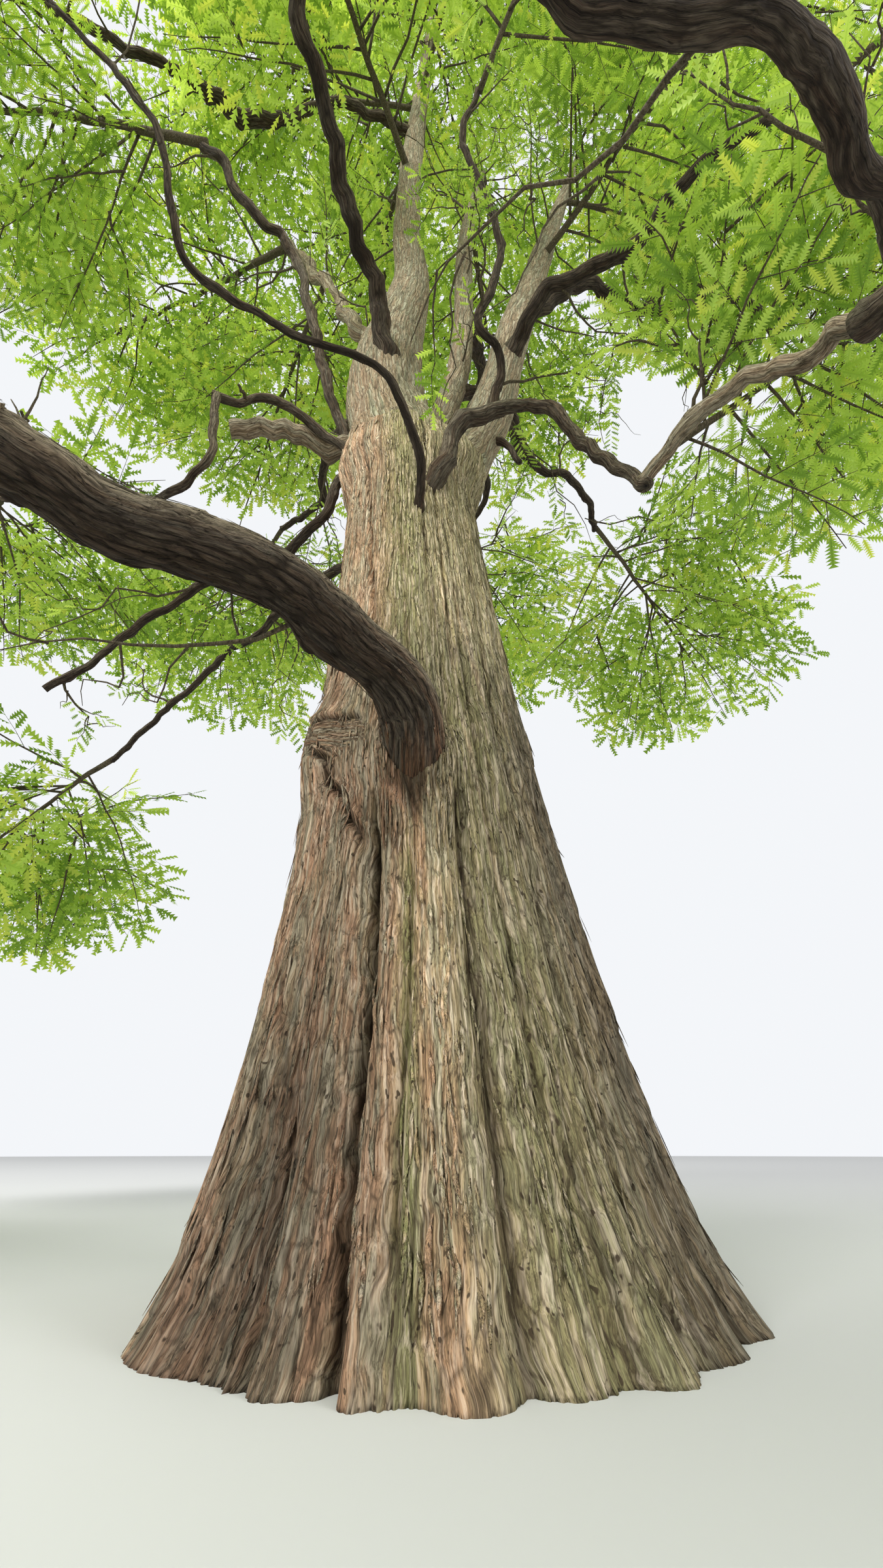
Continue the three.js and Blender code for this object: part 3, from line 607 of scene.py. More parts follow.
def flake_piece(name, material, parts):
    """One piece of all the loose flakes of the trunk or of the low bough."""
    faces, shift = [], 0
    for (points, triangles), _ in parts:
        faces.append(triangles + shift)
        shift += len(points)
    points = np.concatenate([part[0][0] for part in parts])
    values = {key: np.concatenate([part[1][key] for part in parts]) for key in parts[0][1]}
    piece = mesh_piece(name, points, np.concatenate(faces), [material], **values)
    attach(piece, "root")


trunk_flakes = []
for low, (rings, values, weight) in zip(TRUNK_SECTIONS, trunk_skins):
    weight[:FLAKE_ROWS[1]] = 0  # the lowest would hang past the section's first row
    rng = np.random.default_rng(round(100 * low) + 3)
    trunk_flakes.append(flakes(rings, values, weight, FLAKE_COUNT, rng, **TRUNK_FLAKES))
flake_piece("trunk_flakes", trunk_bark, trunk_flakes)

# The leaders and boughs. Each is wood under the same bark, thinner and darker, and grows out of the trunk
# or of another limb, with a collar there. Its line bends from run to run: length, azimuth and elevation.
LIMBS = {
    "left_leader": dict(on="trunk", height=4.2, radius=(0.175, 0.03), swell=(0.12, 0.07, 0.1),
        runs=[(0.64, -85, 76), (0.85, -85, 87), (1.25, 85, 83.5), (1.3, -90, 87), (8.9, 60, 88)]),
    "middle_leader": dict(on="trunk", height=4.3, radius=(0.105, 0.028),
        runs=[(1.4, 106, 76), (2.7, 110, 87), (4.7, 155, 79)]),
    "right_leader": dict(on="trunk", height=3.9, radius=(0.18, 0.03),
        runs=[(0.95, 90, 62), (1.55, 92, 77), (5.1, 106, 77)]),
    "low_left_bough": dict(on="trunk", height=1.58, radius=(0.122, 0.086),
        runs=[(0.6, -2, 16), (0.2, -8, 42), (0.35, -40, 19), (0.33, -51, 12), (0.4, -55, -9),
              (0.42, -53, 5)]),
    "low_left_bough_outer": dict(on="low_left_bough", share=0.97, radius=(0.088, 0.044),
        runs=[(0.48, -54, 8), (0.77, -73, 28), (0.93, -86, 36), (0.7, -98, 30)]),
    "dark_bough": dict(on="left_leader", height=4.95, radius=(0.076, 0.04),
        runs=[(0.42, 0, 50), (0.48, -14, 62), (0.74, -24, 28), (0.43, -14, 15), (0.65, -9, 38)]),
    "crooked_bough": dict(on="trunk", height=3.4, radius=(0.032, 0.014),
        runs=[(0.46, 9, 10), (0.4, -20, 50), (0.26, -44, 41), (0.49, -68, 6), (0.49, -64, 14),
              (0.24, -33, 47), (0.45, -22, 64), (1.07, -65, 49)]),
    "right_bough": dict(on="trunk", height=3.56, radius=(0.058, 0.045),
        runs=[(0.49, 20, 28), (0.3, 74, 70), (0.38, 91, 45)]),
    "right_bough_middle": dict(on="right_bough", share=0.96, radius=(0.044, 0.043),
        runs=[(0.24, 90, 18), (0.42, 85, -56), (0.5, 78, -58), (0.2, 30, -72)]),
    "right_bough_outer": dict(on="right_bough_middle", share=0.97, radius=(0.042, 0.052),
        runs=[(0.24, 30, 15), (0.33, 37, 5), (0.31, 38, -34), (0.37, 15, -50)]),
    "overhead_bough": dict(on="right_bough_outer", share=0.98, radius=(0.06, 0.03),
        runs=[(0.23, -2, -38), (0.45, -48, -8), (0.42, -52, -2), (0.39, -82, -4), (0.27, -78, 11),
              (0.42, -53, 29), (0.57, -40, 39)]),
    "riser_bough": dict(on="right_bough", share=0.97, radius=(0.033, 0.022),
        runs=[(0.44, 15, 70), (0.17, -53, 25), (0.63, 46, 70), (1.11, -36, 70), (0.41, 48, 69)]),
    "curved_bough": dict(on="trunk", height=4.15, radius=(0.046, 0.042),
        runs=[(0.74, -83, 52), (0.82, -58, 70), (1.32, -60, 72), (0.2, -60, 10), (0.92, -60, 52)]),
    "pale_bough": dict(on="left_leader", height=5.8, radius=(0.06, 0.044),
        runs=[(0.6, -101, 64), (0.9, -108, 69), (1.7, -107, 66)]),
    "knotty_bough": dict(on="left_leader", height=10.5, radius=(0.052, 0.044), swell=(0.026, 0.5, 0.1),
        runs=[(1.09, -68, -27), (0.85, -91, -36), (0.82, -60, -14), (0.87, -68, 0), (0.6, -58, 15)]),
    "broken_bough": dict(on="trunk", height=4.48, radius=(0.076, 0.06),
        runs=[(0.48, -88, 20), (0.47, -83, 5), (0.29, -82, -15)]),
    "twisted_bough": dict(on="trunk", height=4.15, radius=(0.038, 0.032),
        runs=[(0.8, -78, 37), (0.33, -74, 39), (0.18, -80, 3), (0.2, -61, -59), (0.15, -67, -4)]),
    "twisted_bough_outer": dict(on="twisted_bough", share=0.98, radius=(0.031, 0.022),
        runs=[(0.83, 60, -85), (0.31, -111, -25), (0.72, -108, 15), (0.8, -101, 27)]),
    "side_bough": dict(on="trunk", height=4.1, radius=(0.04, 0.028),
        runs=[(0.46, -88, 30), (0.48, -97, -68), (0.27, -129, -19), (0.61, -114, 3), (1.3, -92, -47)]),
    "far_left_bough": dict(on="trunk", height=3.45, radius=(0.04, 0.026),
        runs=[(0.48, -114, 28), (0.92, -135, 13), (0.73, -133, 4), (0.69, -123, -22), (0.72, -119, -30)]),
    "right_stub": dict(on="right_leader", height=4.65, radius=(0.03, 0.025),
        runs=[(0.2, 78, -12), (0.25, 77, -58)]),
}

# The boughs of the right side and the back: azimuth, length, leader and height
BACK_BOUGHS = [
    (55, 2.5, "right_leader", 5.6), (97, 2.8, "right_leader", 6.5), (138, 2.6, "middle_leader", 5.5),
    (175, 2.9, "middle_leader", 6.6), (213, 2.7, "left_leader", 5.7),
]
BACK_RISE = (34, 10, 4, 14)  # elevation of their four equal runs
BACK_SWING = 16  # how far each run turns aside, left and right by turns
for index, (azimuth, length, leader, height) in enumerate(BACK_BOUGHS):
    runs = []
    for k, rise in enumerate(BACK_RISE):
        runs.append((length / len(BACK_RISE), azimuth + BACK_SWING * (1 if k % 2 else -1), rise))
    LIMBS[f"back_bough_{index + 1}"] = dict(on=leader, height=height, radius=(0.06, 0.028), runs=runs)

LEADERS = ("left_leader", "middle_leader", "right_leader")
LINE_POINTS = 600  # of each limb's line
UP = np.array([0.0, 0.0, 1.0])
SLIM_ROOT, SLIM = 0.05, 0.84  # boughs with a thinner root are so slim between their knots
KNOT_SPACING = 0.42
COLLAR_SWELL = 0.35  # of the radius, where a limb comes out

# The limbs that flow into the trunk's skin, and how far out that reaches
COLLARS = {"left_leader": 0.24, "middle_leader": 0.2, "right_leader": 0.22, "low_left_bough": 0.17}
COLLAR_POINTS = (0, 300, 4)  # of the limb's line, near which the trunk's skin rises: first, last, step
EXIT_STEP = 6  # from point to point of a limb's line, where another comes out of it

# The mesh and bark of each kind of limb: sides of its facets round and along it, length and width of the
# bark's plates, and how far it wanders and how high the bark stands, both in shares of its radius
LIMB_SKIN = {"facet": 0.0095, "step": 0.028, "strip": 0.1, "plate": 0.022, "wander": 0.7, "relief": 0.09}
LEADER_SKIN = {"facet": 0.0125, "step": 0.036, "strip": 0.34, "plate": 0.019, "wander": 0.01, "relief": 0.05}
LOW_SKIN = {"facet": 0.006, "step": 0.02, "strip": 0.15, "plate": 0.03, "wander": 0.12, "relief": 0.13}


def evenly(points, count):
    """So many points equally far apart along a line of points."""
    steps = np.linalg.norm(np.diff(points, axis=0), axis=1)
    along = np.concatenate([[0], np.cumsum(steps)])
    places = np.linspace(0, along[-1], count)
    return np.stack([np.interp(places, along, points[:, axis]) for axis in range(3)], 1), along[-1]


def smooth_line(corners, count):
    """A curve through corners: between two of them a cubic whose slopes come from the corners before
    and after, each distance counting by its square root."""
    corners = np.array(corners)
    ends = np.concatenate([[2 * corners[0] - corners[1]], corners, [2 * corners[-1] - corners[-2]]])
    gaps = np.sqrt(np.linalg.norm(np.diff(ends, axis=0), axis=1))[:, None]
    t = np.linspace(0, 1, 60, endpoint=False)[:, None]
    spans = []
    for k in range(1, len(ends) - 2):
        before, here, after, beyond = ends[k - 1:k + 3]
        g0, g1, g2 = gaps[k - 1:k + 2]
        leave = ((here - before) / g0 - (after - before) / (g0 + g1) + (after - here) / g1) * g1
        arrive = ((after - here) / g1 - (beyond - here) / (g1 + g2) + (beyond - after) / g2) * g1
        square = 3 * (after - here) - 2 * leave - arrive
        cube = 2 * (here - after) + leave + arrive
        spans.append(here + leave * t + square * t**2 + cube * t**3)
    return evenly(np.concatenate([*spans, corners[-1:]]), count)


lines = {}


def limb_line(name):
    """The middle line of a limb as points, with its length."""
    if name not in lines:
        limb = LIMBS[name]
        if "share" in limb:
            points, _ = limb_line(limb["on"])
            root = points[round(limb["share"] * (LINE_POINTS - 1))]
        else:
            root = axis_at(limb["on"], limb["height"])
        steps = [length * heading(azimuth, rise) for length, azimuth, rise in limb["runs"]]
        lines[name] = smooth_line(np.cumsum([root, *steps], axis=0), LINE_POINTS)
    return lines[name]


def axis_at(on, height):
    """The middle of the trunk, or of a leader, at a height."""
    if on == "trunk":
        return TRUNK_LEAN * height
    points, _ = limb_line(on)
    return points[np.abs(points[:, 2] - height).argmin()]


def limb_radius(name, share):
    """From the root's radius to the tip's in a straight taper, plus a bell where the limb swells."""
    root, tip = LIMBS[name]["radius"]
    by, at, over = LIMBS[name].get("swell", (0, 0, 1))
    return root + (tip - root) * share + by * hump(share, at, over)


def frames(points):
    """Directions along and across a line of points. Across comes from the direction that the line turns
    towards least, so it never spins."""
    along = np.gradient(points, axis=0)
    along /= np.linalg.norm(along, axis=1, keepdims=True)
    spread, axes = np.linalg.eigh(along.T @ along)
    side = np.cross(along, axes[:, 0])
    side /= np.linalg.norm(side, axis=1, keepdims=True)
    return along, side, np.cross(along, side)


def knots_of(name):
    """Knots of a bough: shares along it, turns round it and sizes, at about even distances."""
    _, length = limb_line(name)
    rng = np.random.default_rng(len(name) * 31 + round(length * 100))
    count = max(1, int(length / KNOT_SPACING))
    shares = (np.arange(count) + rng.uniform(0.3, 0.95, count)) / count
    return shares, rng.random(count), rng.uniform(0.15, 0.5, count)


def exit_place(name):
    """How far along its line a limb comes out of the trunk, or of the limb that bears it: up to its first
    point outside their plain radius."""
    points, length = limb_line(name)
    on = LIMBS[name]["on"]
    if on == "trunk":
        out = points - points[:, 2:] * TRUNK_LEAN
        turn = np.degrees(np.arctan2(out[:, 0], -out[:, 1]))
        inside = np.hypot(out[:, 0], out[:, 1]) < trunk_radius(turn, np.maximum(points[:, 2], 0))
        inside &= points[:, 2] < TRUNK_HEIGHT - CROTCH_DEPTH
    else:
        parent, _ = limb_line(on)
        gap = np.linalg.norm(points[:, None] - parent[::EXIT_STEP], axis=2)
        inside = gap.min(1) < limb_radius(on, gap.argmin(1) * EXIT_STEP / LINE_POINTS)
    return inside.argmin() / LINE_POINTS * length


def gap_to_trunk(points):
    """Metres from the trunk's plain skin out to points: the distance from its axis less the closing radius,
    or the height over its top if that is more."""
    z = np.clip(points[..., 2], 0, TRUNK_HEIGHT)
    out = points - z[..., None] * TRUNK_LEAN
    across = out[..., 0] / broadening(z)
    turn = np.degrees(np.arctan2(across, -out[..., 1]))
    radius = trunk_radius(turn, z) * np.sqrt(1 - CROTCH_CLOSE * top_closing(turn, z) ** 2)
    return np.maximum(np.hypot(across, out[..., 1]) - radius, points[..., 2] - TRUNK_HEIGHT)


def gap_to_limb(points, name):
    """Metres from a limb's plain skin out to points: the least distance to its line less its radius."""
    line, _ = limb_line(name)
    gap = np.full(len(points), 9.0)
    for at in range(*COLLAR_POINTS):
        gap = np.minimum(gap, np.linalg.norm(points - line[at], axis=1) - limb_radius(name, at / LINE_POINTS))
    return gap


def flow(gap, reach):
    """How far a skin rises at a gap from another that it flows into: reach/4 times the square of what is
    left of 1 less the gap in reaches."""
    return reach / 4 * np.clip(1 - np.abs(gap) / reach, 0, 1) ** 2


def rise_at_limbs(name):
    """Lifts the skin of a piece of the trunk where limbs come out of it, outwards, and upwards on its top."""
    mesh = bpy.data.objects[name].data
    points = np.empty(3 * len(mesh.vertices), np.float32)
    mesh.vertices.foreach_get("co", points)
    points = points.reshape(-1, 3).astype(float)
    out = points - points[:, 2:] * TRUNK_LEAN + (0, 1e-6, 0)
    level = 1 - ramp(points[:, 2:], TRUNK_HEIGHT - CROTCH_DEPTH, TRUNK_HEIGHT)
    lift = np.max([flow(gap_to_limb(points, limb), reach) for limb, reach in COLLARS.items()], axis=0)
    points = points + lift[:, None] * unit(unit(out) * level + UP * (1 - level))
    mesh.vertices.foreach_set("co", np.float32(points).ravel())
    mesh.update()


def kinks(place, spacing, seed):
    """Sideways offsets from -0.5 to 0.5 that run straight from one random value to the next."""
    table = np.random.default_rng(seed).random(200)
    return np.interp(place / spacing, np.arange(200), table) - 0.5


def limb_values(name, place, ring, root, furrow, tone):
    """What colours a limb's bark: painted shade in its furrows and under it, grey weather or algae on top,
    which on the low bough is partly painted light where its top is lit, warm new bark at its root, and the
    painted light, which is lighter on top. Each is a ramp of how far a spot faces up."""
    leader, low = name in LEADERS, name.startswith("low")
    height = ring[..., 2]
    near = np.exp(-place / 1.3) if leader else 0 * place
    # Painted shade under the limb, partly also its darker, wetter bark there; less of it on the pale boughs
    # and none on the leaders
    under = 0.7 if low else 0.12 if name in PALE else 0.5
    shade = under * (1 - ramp(height, -0.6, 0.15)) * (not leader)
    # On top grey weathered bark or algae; on the low bough it is also painted light where its top is lit
    weathered_and_lit = 0.95 * ramp(height, -0.25, 0.35) * (0.5 + 0.5 * tone) if low else 0.4 * np.clip(height, 0, 1)
    beneath = (0.1 if low else 0.4) * (1 - height)
    towards_left = 1.1 * near * ramp(-ring[..., 0], -0.5, 0.4)
    # Painted light: lighter on top and near a leader's root, and lighter on the pale boughs to make up for
    # the shade under them
    light = 1 + (0.0 if leader else 0.3) * height + 0.2 * near + 0.25 * (name in PALE)
    return {"furrow": np.clip(0.85 * furrow + shade * (1 - 0.8 * root), 0, 1),
            "green": np.clip(weathered_and_lit + 0 * furrow + 0.8 * root * ramp(height, -0.6, 0.3), 0, 1),
            "red": np.clip(beneath + 2.2 * root * (not leader) + towards_left, 0, 1) + 0 * furrow,
            "tone": tone, "light": light + 0 * furrow}


def limb_piece(name, material, seed, facet, step, strip, plate, wander, relief):
    """A limb's skin: rings round its kinked line, swollen by the collar, lumps and knots, with bark in
    relief. Returns its rings, its colours, and how likely each spot bears a flake."""
    leader = name in LEADERS
    points, length = limb_line(name)
    rows = max(12, round(length / step))
    middles, _ = evenly(points, rows + 1)
    _, side, up = frames(middles)
    share = np.linspace(0, 1, rows + 1)[:, None]
    place = share * length
    radius = limb_radius(name, share)
    thick = float(radius.mean())
    columns = int(np.clip(2 * np.pi * radius.max() / facet, 14, 200))
    around = np.arange(columns)[None] / columns
    turn = 2 * np.pi * around
    turns, metres = around + 0 * place, place + 0 * around
    ring = np.cos(turn)[..., None] * side[:, None] + np.sin(turn)[..., None] * up[:, None]
    height = ring[..., 2]

    # Its middle line, kinked aside and upwards
    aside = kinks(place, 0.22, seed + 6) + 0.5 * kinks(place, 0.09, seed + 8)
    above = kinks(place, 0.19, seed + 7) + 0.5 * kinks(place, 0.08, seed + 9)
    middles = middles + wander * radius * ramp(place, 0, 0.3) * 2 * (aside * side + above * up)

    # Its bark, lumps and knots
    plate_columns = max(6, round(2 * np.pi * thick / plate))
    strip_height, furrow, tone = bark_relief(turns, metres, plate_columns, strip, seed)
    lumps = noise(turns * 3, metres / (0.6 if leader else 0.2), 3, seed + 5) - 0.5
    knots = 0 * lumps
    if not leader:
        for at, turn_at, size in zip(*knots_of(name)):
            beside = (around - turn_at + 0.5) % 1 - 0.5
            knots = knots + size * hump(place, at * length, 0.9 * thick) * hump(beside, 0, 0.12)

    # Where it comes out: a collar that is fullest above, and rough bark
    beyond = np.maximum(place - exit_place(name), 0)
    root = np.exp(-beyond / (1.5 * radius))
    collar = COLLAR_SWELL * np.exp(-beyond / (0.9 * radius)) * (0.45 + 0.55 * height) * (name not in COLLARS)
    crag = noise(turns * 9, metres / 0.035, 9, seed + 4) - 0.5
    body = SLIM if limb_radius(name, 0.0) < SLIM_ROOT else 1.0
    rough = radius * (body + collar + (0.15 if leader else 0.3) * lumps + 1.2 * knots
                      + 0.4 * root * crag * ramp(height, -0.5, 0.5))
    rough = rough + (0.002 + relief * radius) * (1 + 0.8 * root * height) * strip_height
    if name in COLLARS:
        rise = flow(gap_to_trunk(middles[:, None] + radius[..., None] * ring), COLLARS[name])
        rough = rough + rise * (1 if leader else 0.3 + 0.7 * ramp(height, -0.8, 0.3))
    rings = middles[:, None] + rough[..., None] * ring
    points, faces = skin(rings)
    grain = np.stack([radius * np.cos(turn), radius * np.sin(turn), place + 0 * turn], -1) + seed
    grain = np.concatenate([grain.reshape(-1, 3), grain[0, :1], grain[-1, :1]])
    values = limb_values(name, place, ring, root, furrow, tone)
    capped = {key: np.append(value.ravel(), [0.0, 0.0]) for key, value in values.items()}
    piece = mesh_piece(f"{name}_bark", points, faces, [material], 2 * columns, grain=grain, **capped)
    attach(piece, "root")
    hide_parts(name)
    weight = (0.1 + ramp(height, -0.3, 0.6) + 5 * root * (height > -0.5)) * (beyond > 0)
    return rings, values, weight


leader_bark = bark_material(
    "leader_bark", tan=(0.46, 0.375, 0.24), grey=(0.41, 0.38, 0.26), warm=(0.52, 0.33, 0.21),
    dark=(0.07, 0.055, 0.035), film=(0.37, 0.40, 0.2), pale=(0.74, 0.70, 0.53),
)
low_bark = bark_material(
    "low_bark", tan=(0.17, 0.125, 0.085), grey=(0.17, 0.14, 0.105), warm=(0.34, 0.17, 0.09),
    dark=(0.022, 0.015, 0.01), film=(0.40, 0.335, 0.23), pale=(0.34, 0.27, 0.19), bump=1.3,
)
bough_bark = bark_material(
    "bough_bark", tan=(0.20, 0.15, 0.10), grey=(0.21, 0.18, 0.13), warm=(0.15, 0.085, 0.05),
    dark=(0.03, 0.02, 0.013), film=(0.21, 0.195, 0.12), pale=(0.40, 0.33, 0.24),
)
dark_bark = bark_material(
    "dark_bark", tan=(0.13, 0.095, 0.066), grey=(0.15, 0.12, 0.088), warm=(0.11, 0.063, 0.04),
    dark=(0.022, 0.015, 0.01), film=(0.18, 0.165, 0.10), pale=(0.30, 0.24, 0.175),
)
pale_bark = bark_material(
    "pale_bark", tan=(0.40, 0.32, 0.21), grey=(0.38, 0.34, 0.24), warm=(0.34, 0.23, 0.14),
    dark=(0.06, 0.042, 0.026), film=(0.30, 0.29, 0.17), pale=(0.62, 0.54, 0.40),
)
# The boughs with pale bark, which also get more painted light and less painted shade underneath
PALE = ("pale_bough", "broken_bough", "right_bough_outer")
WARM = ("right_bough", "right_bough_middle", "curved_bough", "twisted_bough", "twisted_bough_outer",
        "knotty_bough")
low_skins = []
for index, name in enumerate(LIMBS):
    seed = 200 + 10 * index
    if name in LEADERS:
        limb_piece(name, leader_bark, seed, **LEADER_SKIN)
    elif name.startswith("low_left"):
        low_skins.append((name, seed, limb_piece(name, low_bark, seed, **LOW_SKIN)))
    else:
        bark = pale_bark if name in PALE else bough_bark if name in WARM else dark_bark
        limb_piece(name, bark, seed, **LIMB_SKIN)
for name in ("trunk_middle", "trunk_top", "trunk_flakes"):
    rise_at_limbs(name)

# The loose flakes of the low bough's bark. They are smaller than the trunk's, and as many of them hang on
# by their outer end as by the inner one.
LOW_FLAKES = {"width": 0.006, "stand": 0.007, "downwards": 0.5}
LOW_FLAKES_A_METRE = 70
low_flakes = []
for name, seed, (rings, values, weight) in low_skins:
    count = round(limb_line(name)[1] * LOW_FLAKES_A_METRE)
    low_flakes.append(flakes(rings, values, weight, count, np.random.default_rng(seed), **LOW_FLAKES))
flake_piece("bough_flakes", low_bark, low_flakes)

# The stems, twigs and sprays of the crown. Woody stems grow on from the tips of the limbs and out of the
# leaders. They send out twigs to the left and right by turns, these send out fine twigs, and each fine
# twig bears two rows of soft green sprays, flat like feathers, that fall in autumn.

# Each mass: the limb that bears it, and its stem's azimuth, elevation and length, with the height of its
# root where it grows out of a limb's side
TIP_MASSES = [
    ("low_left_bough_outer", -95, 22, 2.5), ("dark_bough", -12, 22, 2.3), ("crooked_bough", -58, 24, 2.2),
    ("overhead_bough", -35, 25, 2.4), ("riser_bough", 30, 35, 2.3), ("curved_bough", -84, 8, 2.4),
    ("pale_bough", -112, 14, 2.6), ("knotty_bough", -60, 8, 2.1), ("twisted_bough_outer", -135, 42, 2.4),
    ("far_left_bough", -128, 2, 2.5), ("back_bough_1", 52, 8, 2.6), ("back_bough_2", 97, 10, 2.6),
    ("back_bough_3", 140, 6, 2.7), ("back_bough_4", 175, 10, 2.8), ("back_bough_5", 215, 14, 2.8),
    ("middle_leader", 165, 55, 2.5), ("right_leader", 85, 55, 2.5), ("left_leader", 20, 84, 1.9),
]
SIDE_MASSES = [
    ("right_bough_outer", 80, 40, 1.7, 3.5), ("right_leader", 42, 18, 2.6, 7.7),
    ("right_leader", 100, 20, 2.6, 9.5), ("middle_leader", 168, 16, 2.7, 9.3),
    ("left_leader", -25, 16, 3.0, 9.3), ("left_leader", -150, 18, 2.9, 10.0),
    ("left_leader", -85, 20, 2.8, 11.3), ("left_leader", 20, 22, 2.7, 11.5),
    ("left_leader", -165, 26, 2.5, 12.9), ("left_leader", 80, 28, 2.4, 13.9),
    ("left_leader", -45, 28, 2.4, 13.6), ("left_leader", 165, 34, 2.2, 15.1),
    ("left_leader", 35, 36, 2.1, 15.6), ("left_leader", -100, 36, 2.1, 15.7),
    ("pale_bough", -150, 4, 2.2, 7.5),
]

# The rule of the solids, with lengths in shares of the stem's: its twigs, and the blade at each twig's
# end, which stands for its sprays
STEM_RADIUS, STEM_SINK, STEM_SHARE = 0.012, 0.992, 0.94  # the last two at the tip of the limb that bears it
DROOP = 0.13
TWIGS = 6  # main twigs of each stem
FIRST_TWIG, LAST_TWIG = 0.2, 0.84
TWIG_LENGTH, TWIG_ANGLE, TWIG_ROLL = 0.32, 58, 50
SIDE_TWIG_PLACE, SIDE_TWIG_LENGTH, SIDE_TWIG_RISE = 0.45, 0.09, 52
BLADE_LENGTH, BLADE_WIDTH, BLADE_TILT = 0.41, 0.6, 45
BLADE_FALL = 0.1  # how far its end hangs down, of its length
PLACE_JITTER, LENGTH_JITTER = 0.03, 0.15  # either way, of the stem's length and of a part's own
ANGLE_JITTER, RISE_JITTER = 9, 15  # degrees either way
BLADE_TEETH = [(0.34, 0.48), (0.48, 0.22), (0.7, 0.36)]
SPACE = np.array([0.86, 0.72, 0.56])  # half a mass's space along, across and upright
SPACE_MIDDLE, SPACE_MARGIN = 0.62, 0.03
LIMB_MARGIN, LIMB_ROOM, TRUNK_ROOM = 0.045, 1.2, 0.9

# The finer growth, which the solids leave out
MORE_TWIGS = 20  # between the main ones
BRANCHES = 3  # of each main twig, to the left and right by turns
FROND_TILT = 35  # degrees either way
MORE_ROLL = (-80, 60)  # degrees, the least and the most
MORE_LEAN, BRANCH_LEAN, FINE_LEAN, SPRAY_LEAN = (46, 72), (38, 62), (46, 64), (44, 66)  # the same
FRONDS_MARGIN, FROND_ROOM = 0.0, 0.03  # how near they come to other masses and to limbs
LEAST_POINTS = 4  # of a frond that is cut off
FINE_SPACING = 0.115  # from one fine twig to the next
FINE_LENGTH = 0.16  # of the stem's length, for the longest fine twig
FINE_FALL = 0.12  # how far its end hangs down, of its length
BOX_ROOM = 0.03  # how far a fine twig may reach past the solids
SPRAY_SPACING, SPRAY_LENGTH = 0.036, 0.14
CLOSE_MASSES = ("curved_bough", "riser_bough", "right_bough_outer_side_1", "right_leader_side_2")
LOW_SCALE, HIGH_SCALE = 1.22, 1.45  # how much larger and further apart the sprays of the other masses are
HIGH, BACK = 8.0, 1.5  # the height and depth where the masses with the largest sprays begin


def drooping(root, along, length, t):
    """Points and directions at shares t of a line that leaves its root along a direction and droops: a
    parabola from the root through the pull of its middle to its lowered end."""
    t = np.asarray(t, float)[..., None]
    middle, end = root + along * length / 2, root + along * length - UP * length * DROOP
    points = (1 - t) ** 2 * root + 2 * t * (1 - t) * middle + t**2 * end
    return points, unit((1 - t) * (middle - root) + t * (end - middle))


def turned(vectors, axis, angle):
    """Vectors turned about an axis at right angles to them."""
    return vectors * np.cos(angle) + np.cross(axis, vectors) * np.sin(angle)


def crooked(line, amount, rng):
    """A line with smooth random bends across it, none at its root: sines of three lengths, the shorter the
    smaller, in two directions."""
    share = np.linspace(0, 1, len(line))[:, None]
    bends = 0
    for waves, size in ((1.3, 1.0), (3.1, 0.5), (6.3, 0.22)):
        bends = bends + size * rng.normal(0, 1, 3) * np.sin(2 * np.pi * (waves * share + rng.random()))
    return line + amount * (bends - bends[0]) * ramp(share, 0, 0.2)


stems = []
for index, mass in enumerate(TIP_MASSES + SIDE_MASSES):
    on, azimuth, rise, length = mass[:4]
    points, _ = limb_line(on)
    side_mass = len(mass) == 5
    name = f"{on}_side_{index - len(TIP_MASSES) + 1}" if side_mass else on
    root = axis_at(on, mass[4]) if side_mass else points[round(STEM_SINK * (LINE_POINTS - 1))]
    radius = length * STEM_RADIUS if side_mass else limb_radius(on, 1.0) * STEM_SHARE
    along = heading(azimuth, rise)
    across = unit(np.cross(along, UP))
    stem = dict(name=name, root=root, length=length, along=along, across=across,
                upright=np.cross(across, along), seed=4001 + 77 * index, radius=radius)
    stem["middle"] = drooping(root, along, length, SPACE_MIDDLE)[0]
    stem["turn"] = np.stack([along, across, stem["upright"]]) / (length * SPACE)[:, None]
    stems.append(stem)

# Balls along the limbs and stems, which twigs keep clear of: middle, radius and owner
BALL_SPACING, STEM_BALLS = 0.07, 31
balls, ball_radius, ball_owner = [], [], []
for name in LIMBS:
    points, length = limb_line(name)
    middles, _ = evenly(points, int(np.ceil(length / BALL_SPACING)) + 1)
    balls.append(middles)
    ball_radius.append(limb_radius(name, np.linspace(0, 1, len(middles))) * LIMB_ROOM)
    ball_owner.append(np.full(len(middles), -1))
for index, stem in enumerate(stems):
    balls.append(drooping(stem["root"], stem["along"], stem["length"], np.linspace(0, 1, STEM_BALLS))[0])
    ball_radius.append(np.full(STEM_BALLS, stem["length"] * STEM_RADIUS))
    ball_owner.append(np.full(STEM_BALLS, index))
balls, ball_radius, ball_owner = (np.concatenate(parts) for parts in (balls, ball_radius, ball_owner))


def free(index, points, margin=SPACE_MARGIN, room=LIMB_MARGIN):
    """For each point, whether it lies in a mass's own space, nearer to it than to any other mass by a
    margin, and clear of limbs, of other stems and of the trunk."""
    reach = np.stack([np.linalg.norm((points - stem["middle"]) @ stem["turn"].T, axis=-1) for stem in stems])
    own = reach[index].copy()
    reach[index] = np.inf
    inside = (own <= 1) & (reach.min(0) >= own + margin)
    high = np.maximum(points[..., 2:], 0)
    from_trunk = np.linalg.norm(points - high * TRUNK_LEAN, axis=-1)
    inside &= (points[..., 2] >= TRUNK_HEIGHT) | (from_trunk >= TRUNK_ROOM)
    gaps = np.linalg.norm(points[..., None, :] - balls, axis=-1) - ball_radius
    gaps[..., ball_owner == index] = np.inf
    return inside & (gaps.min(-1) > room)


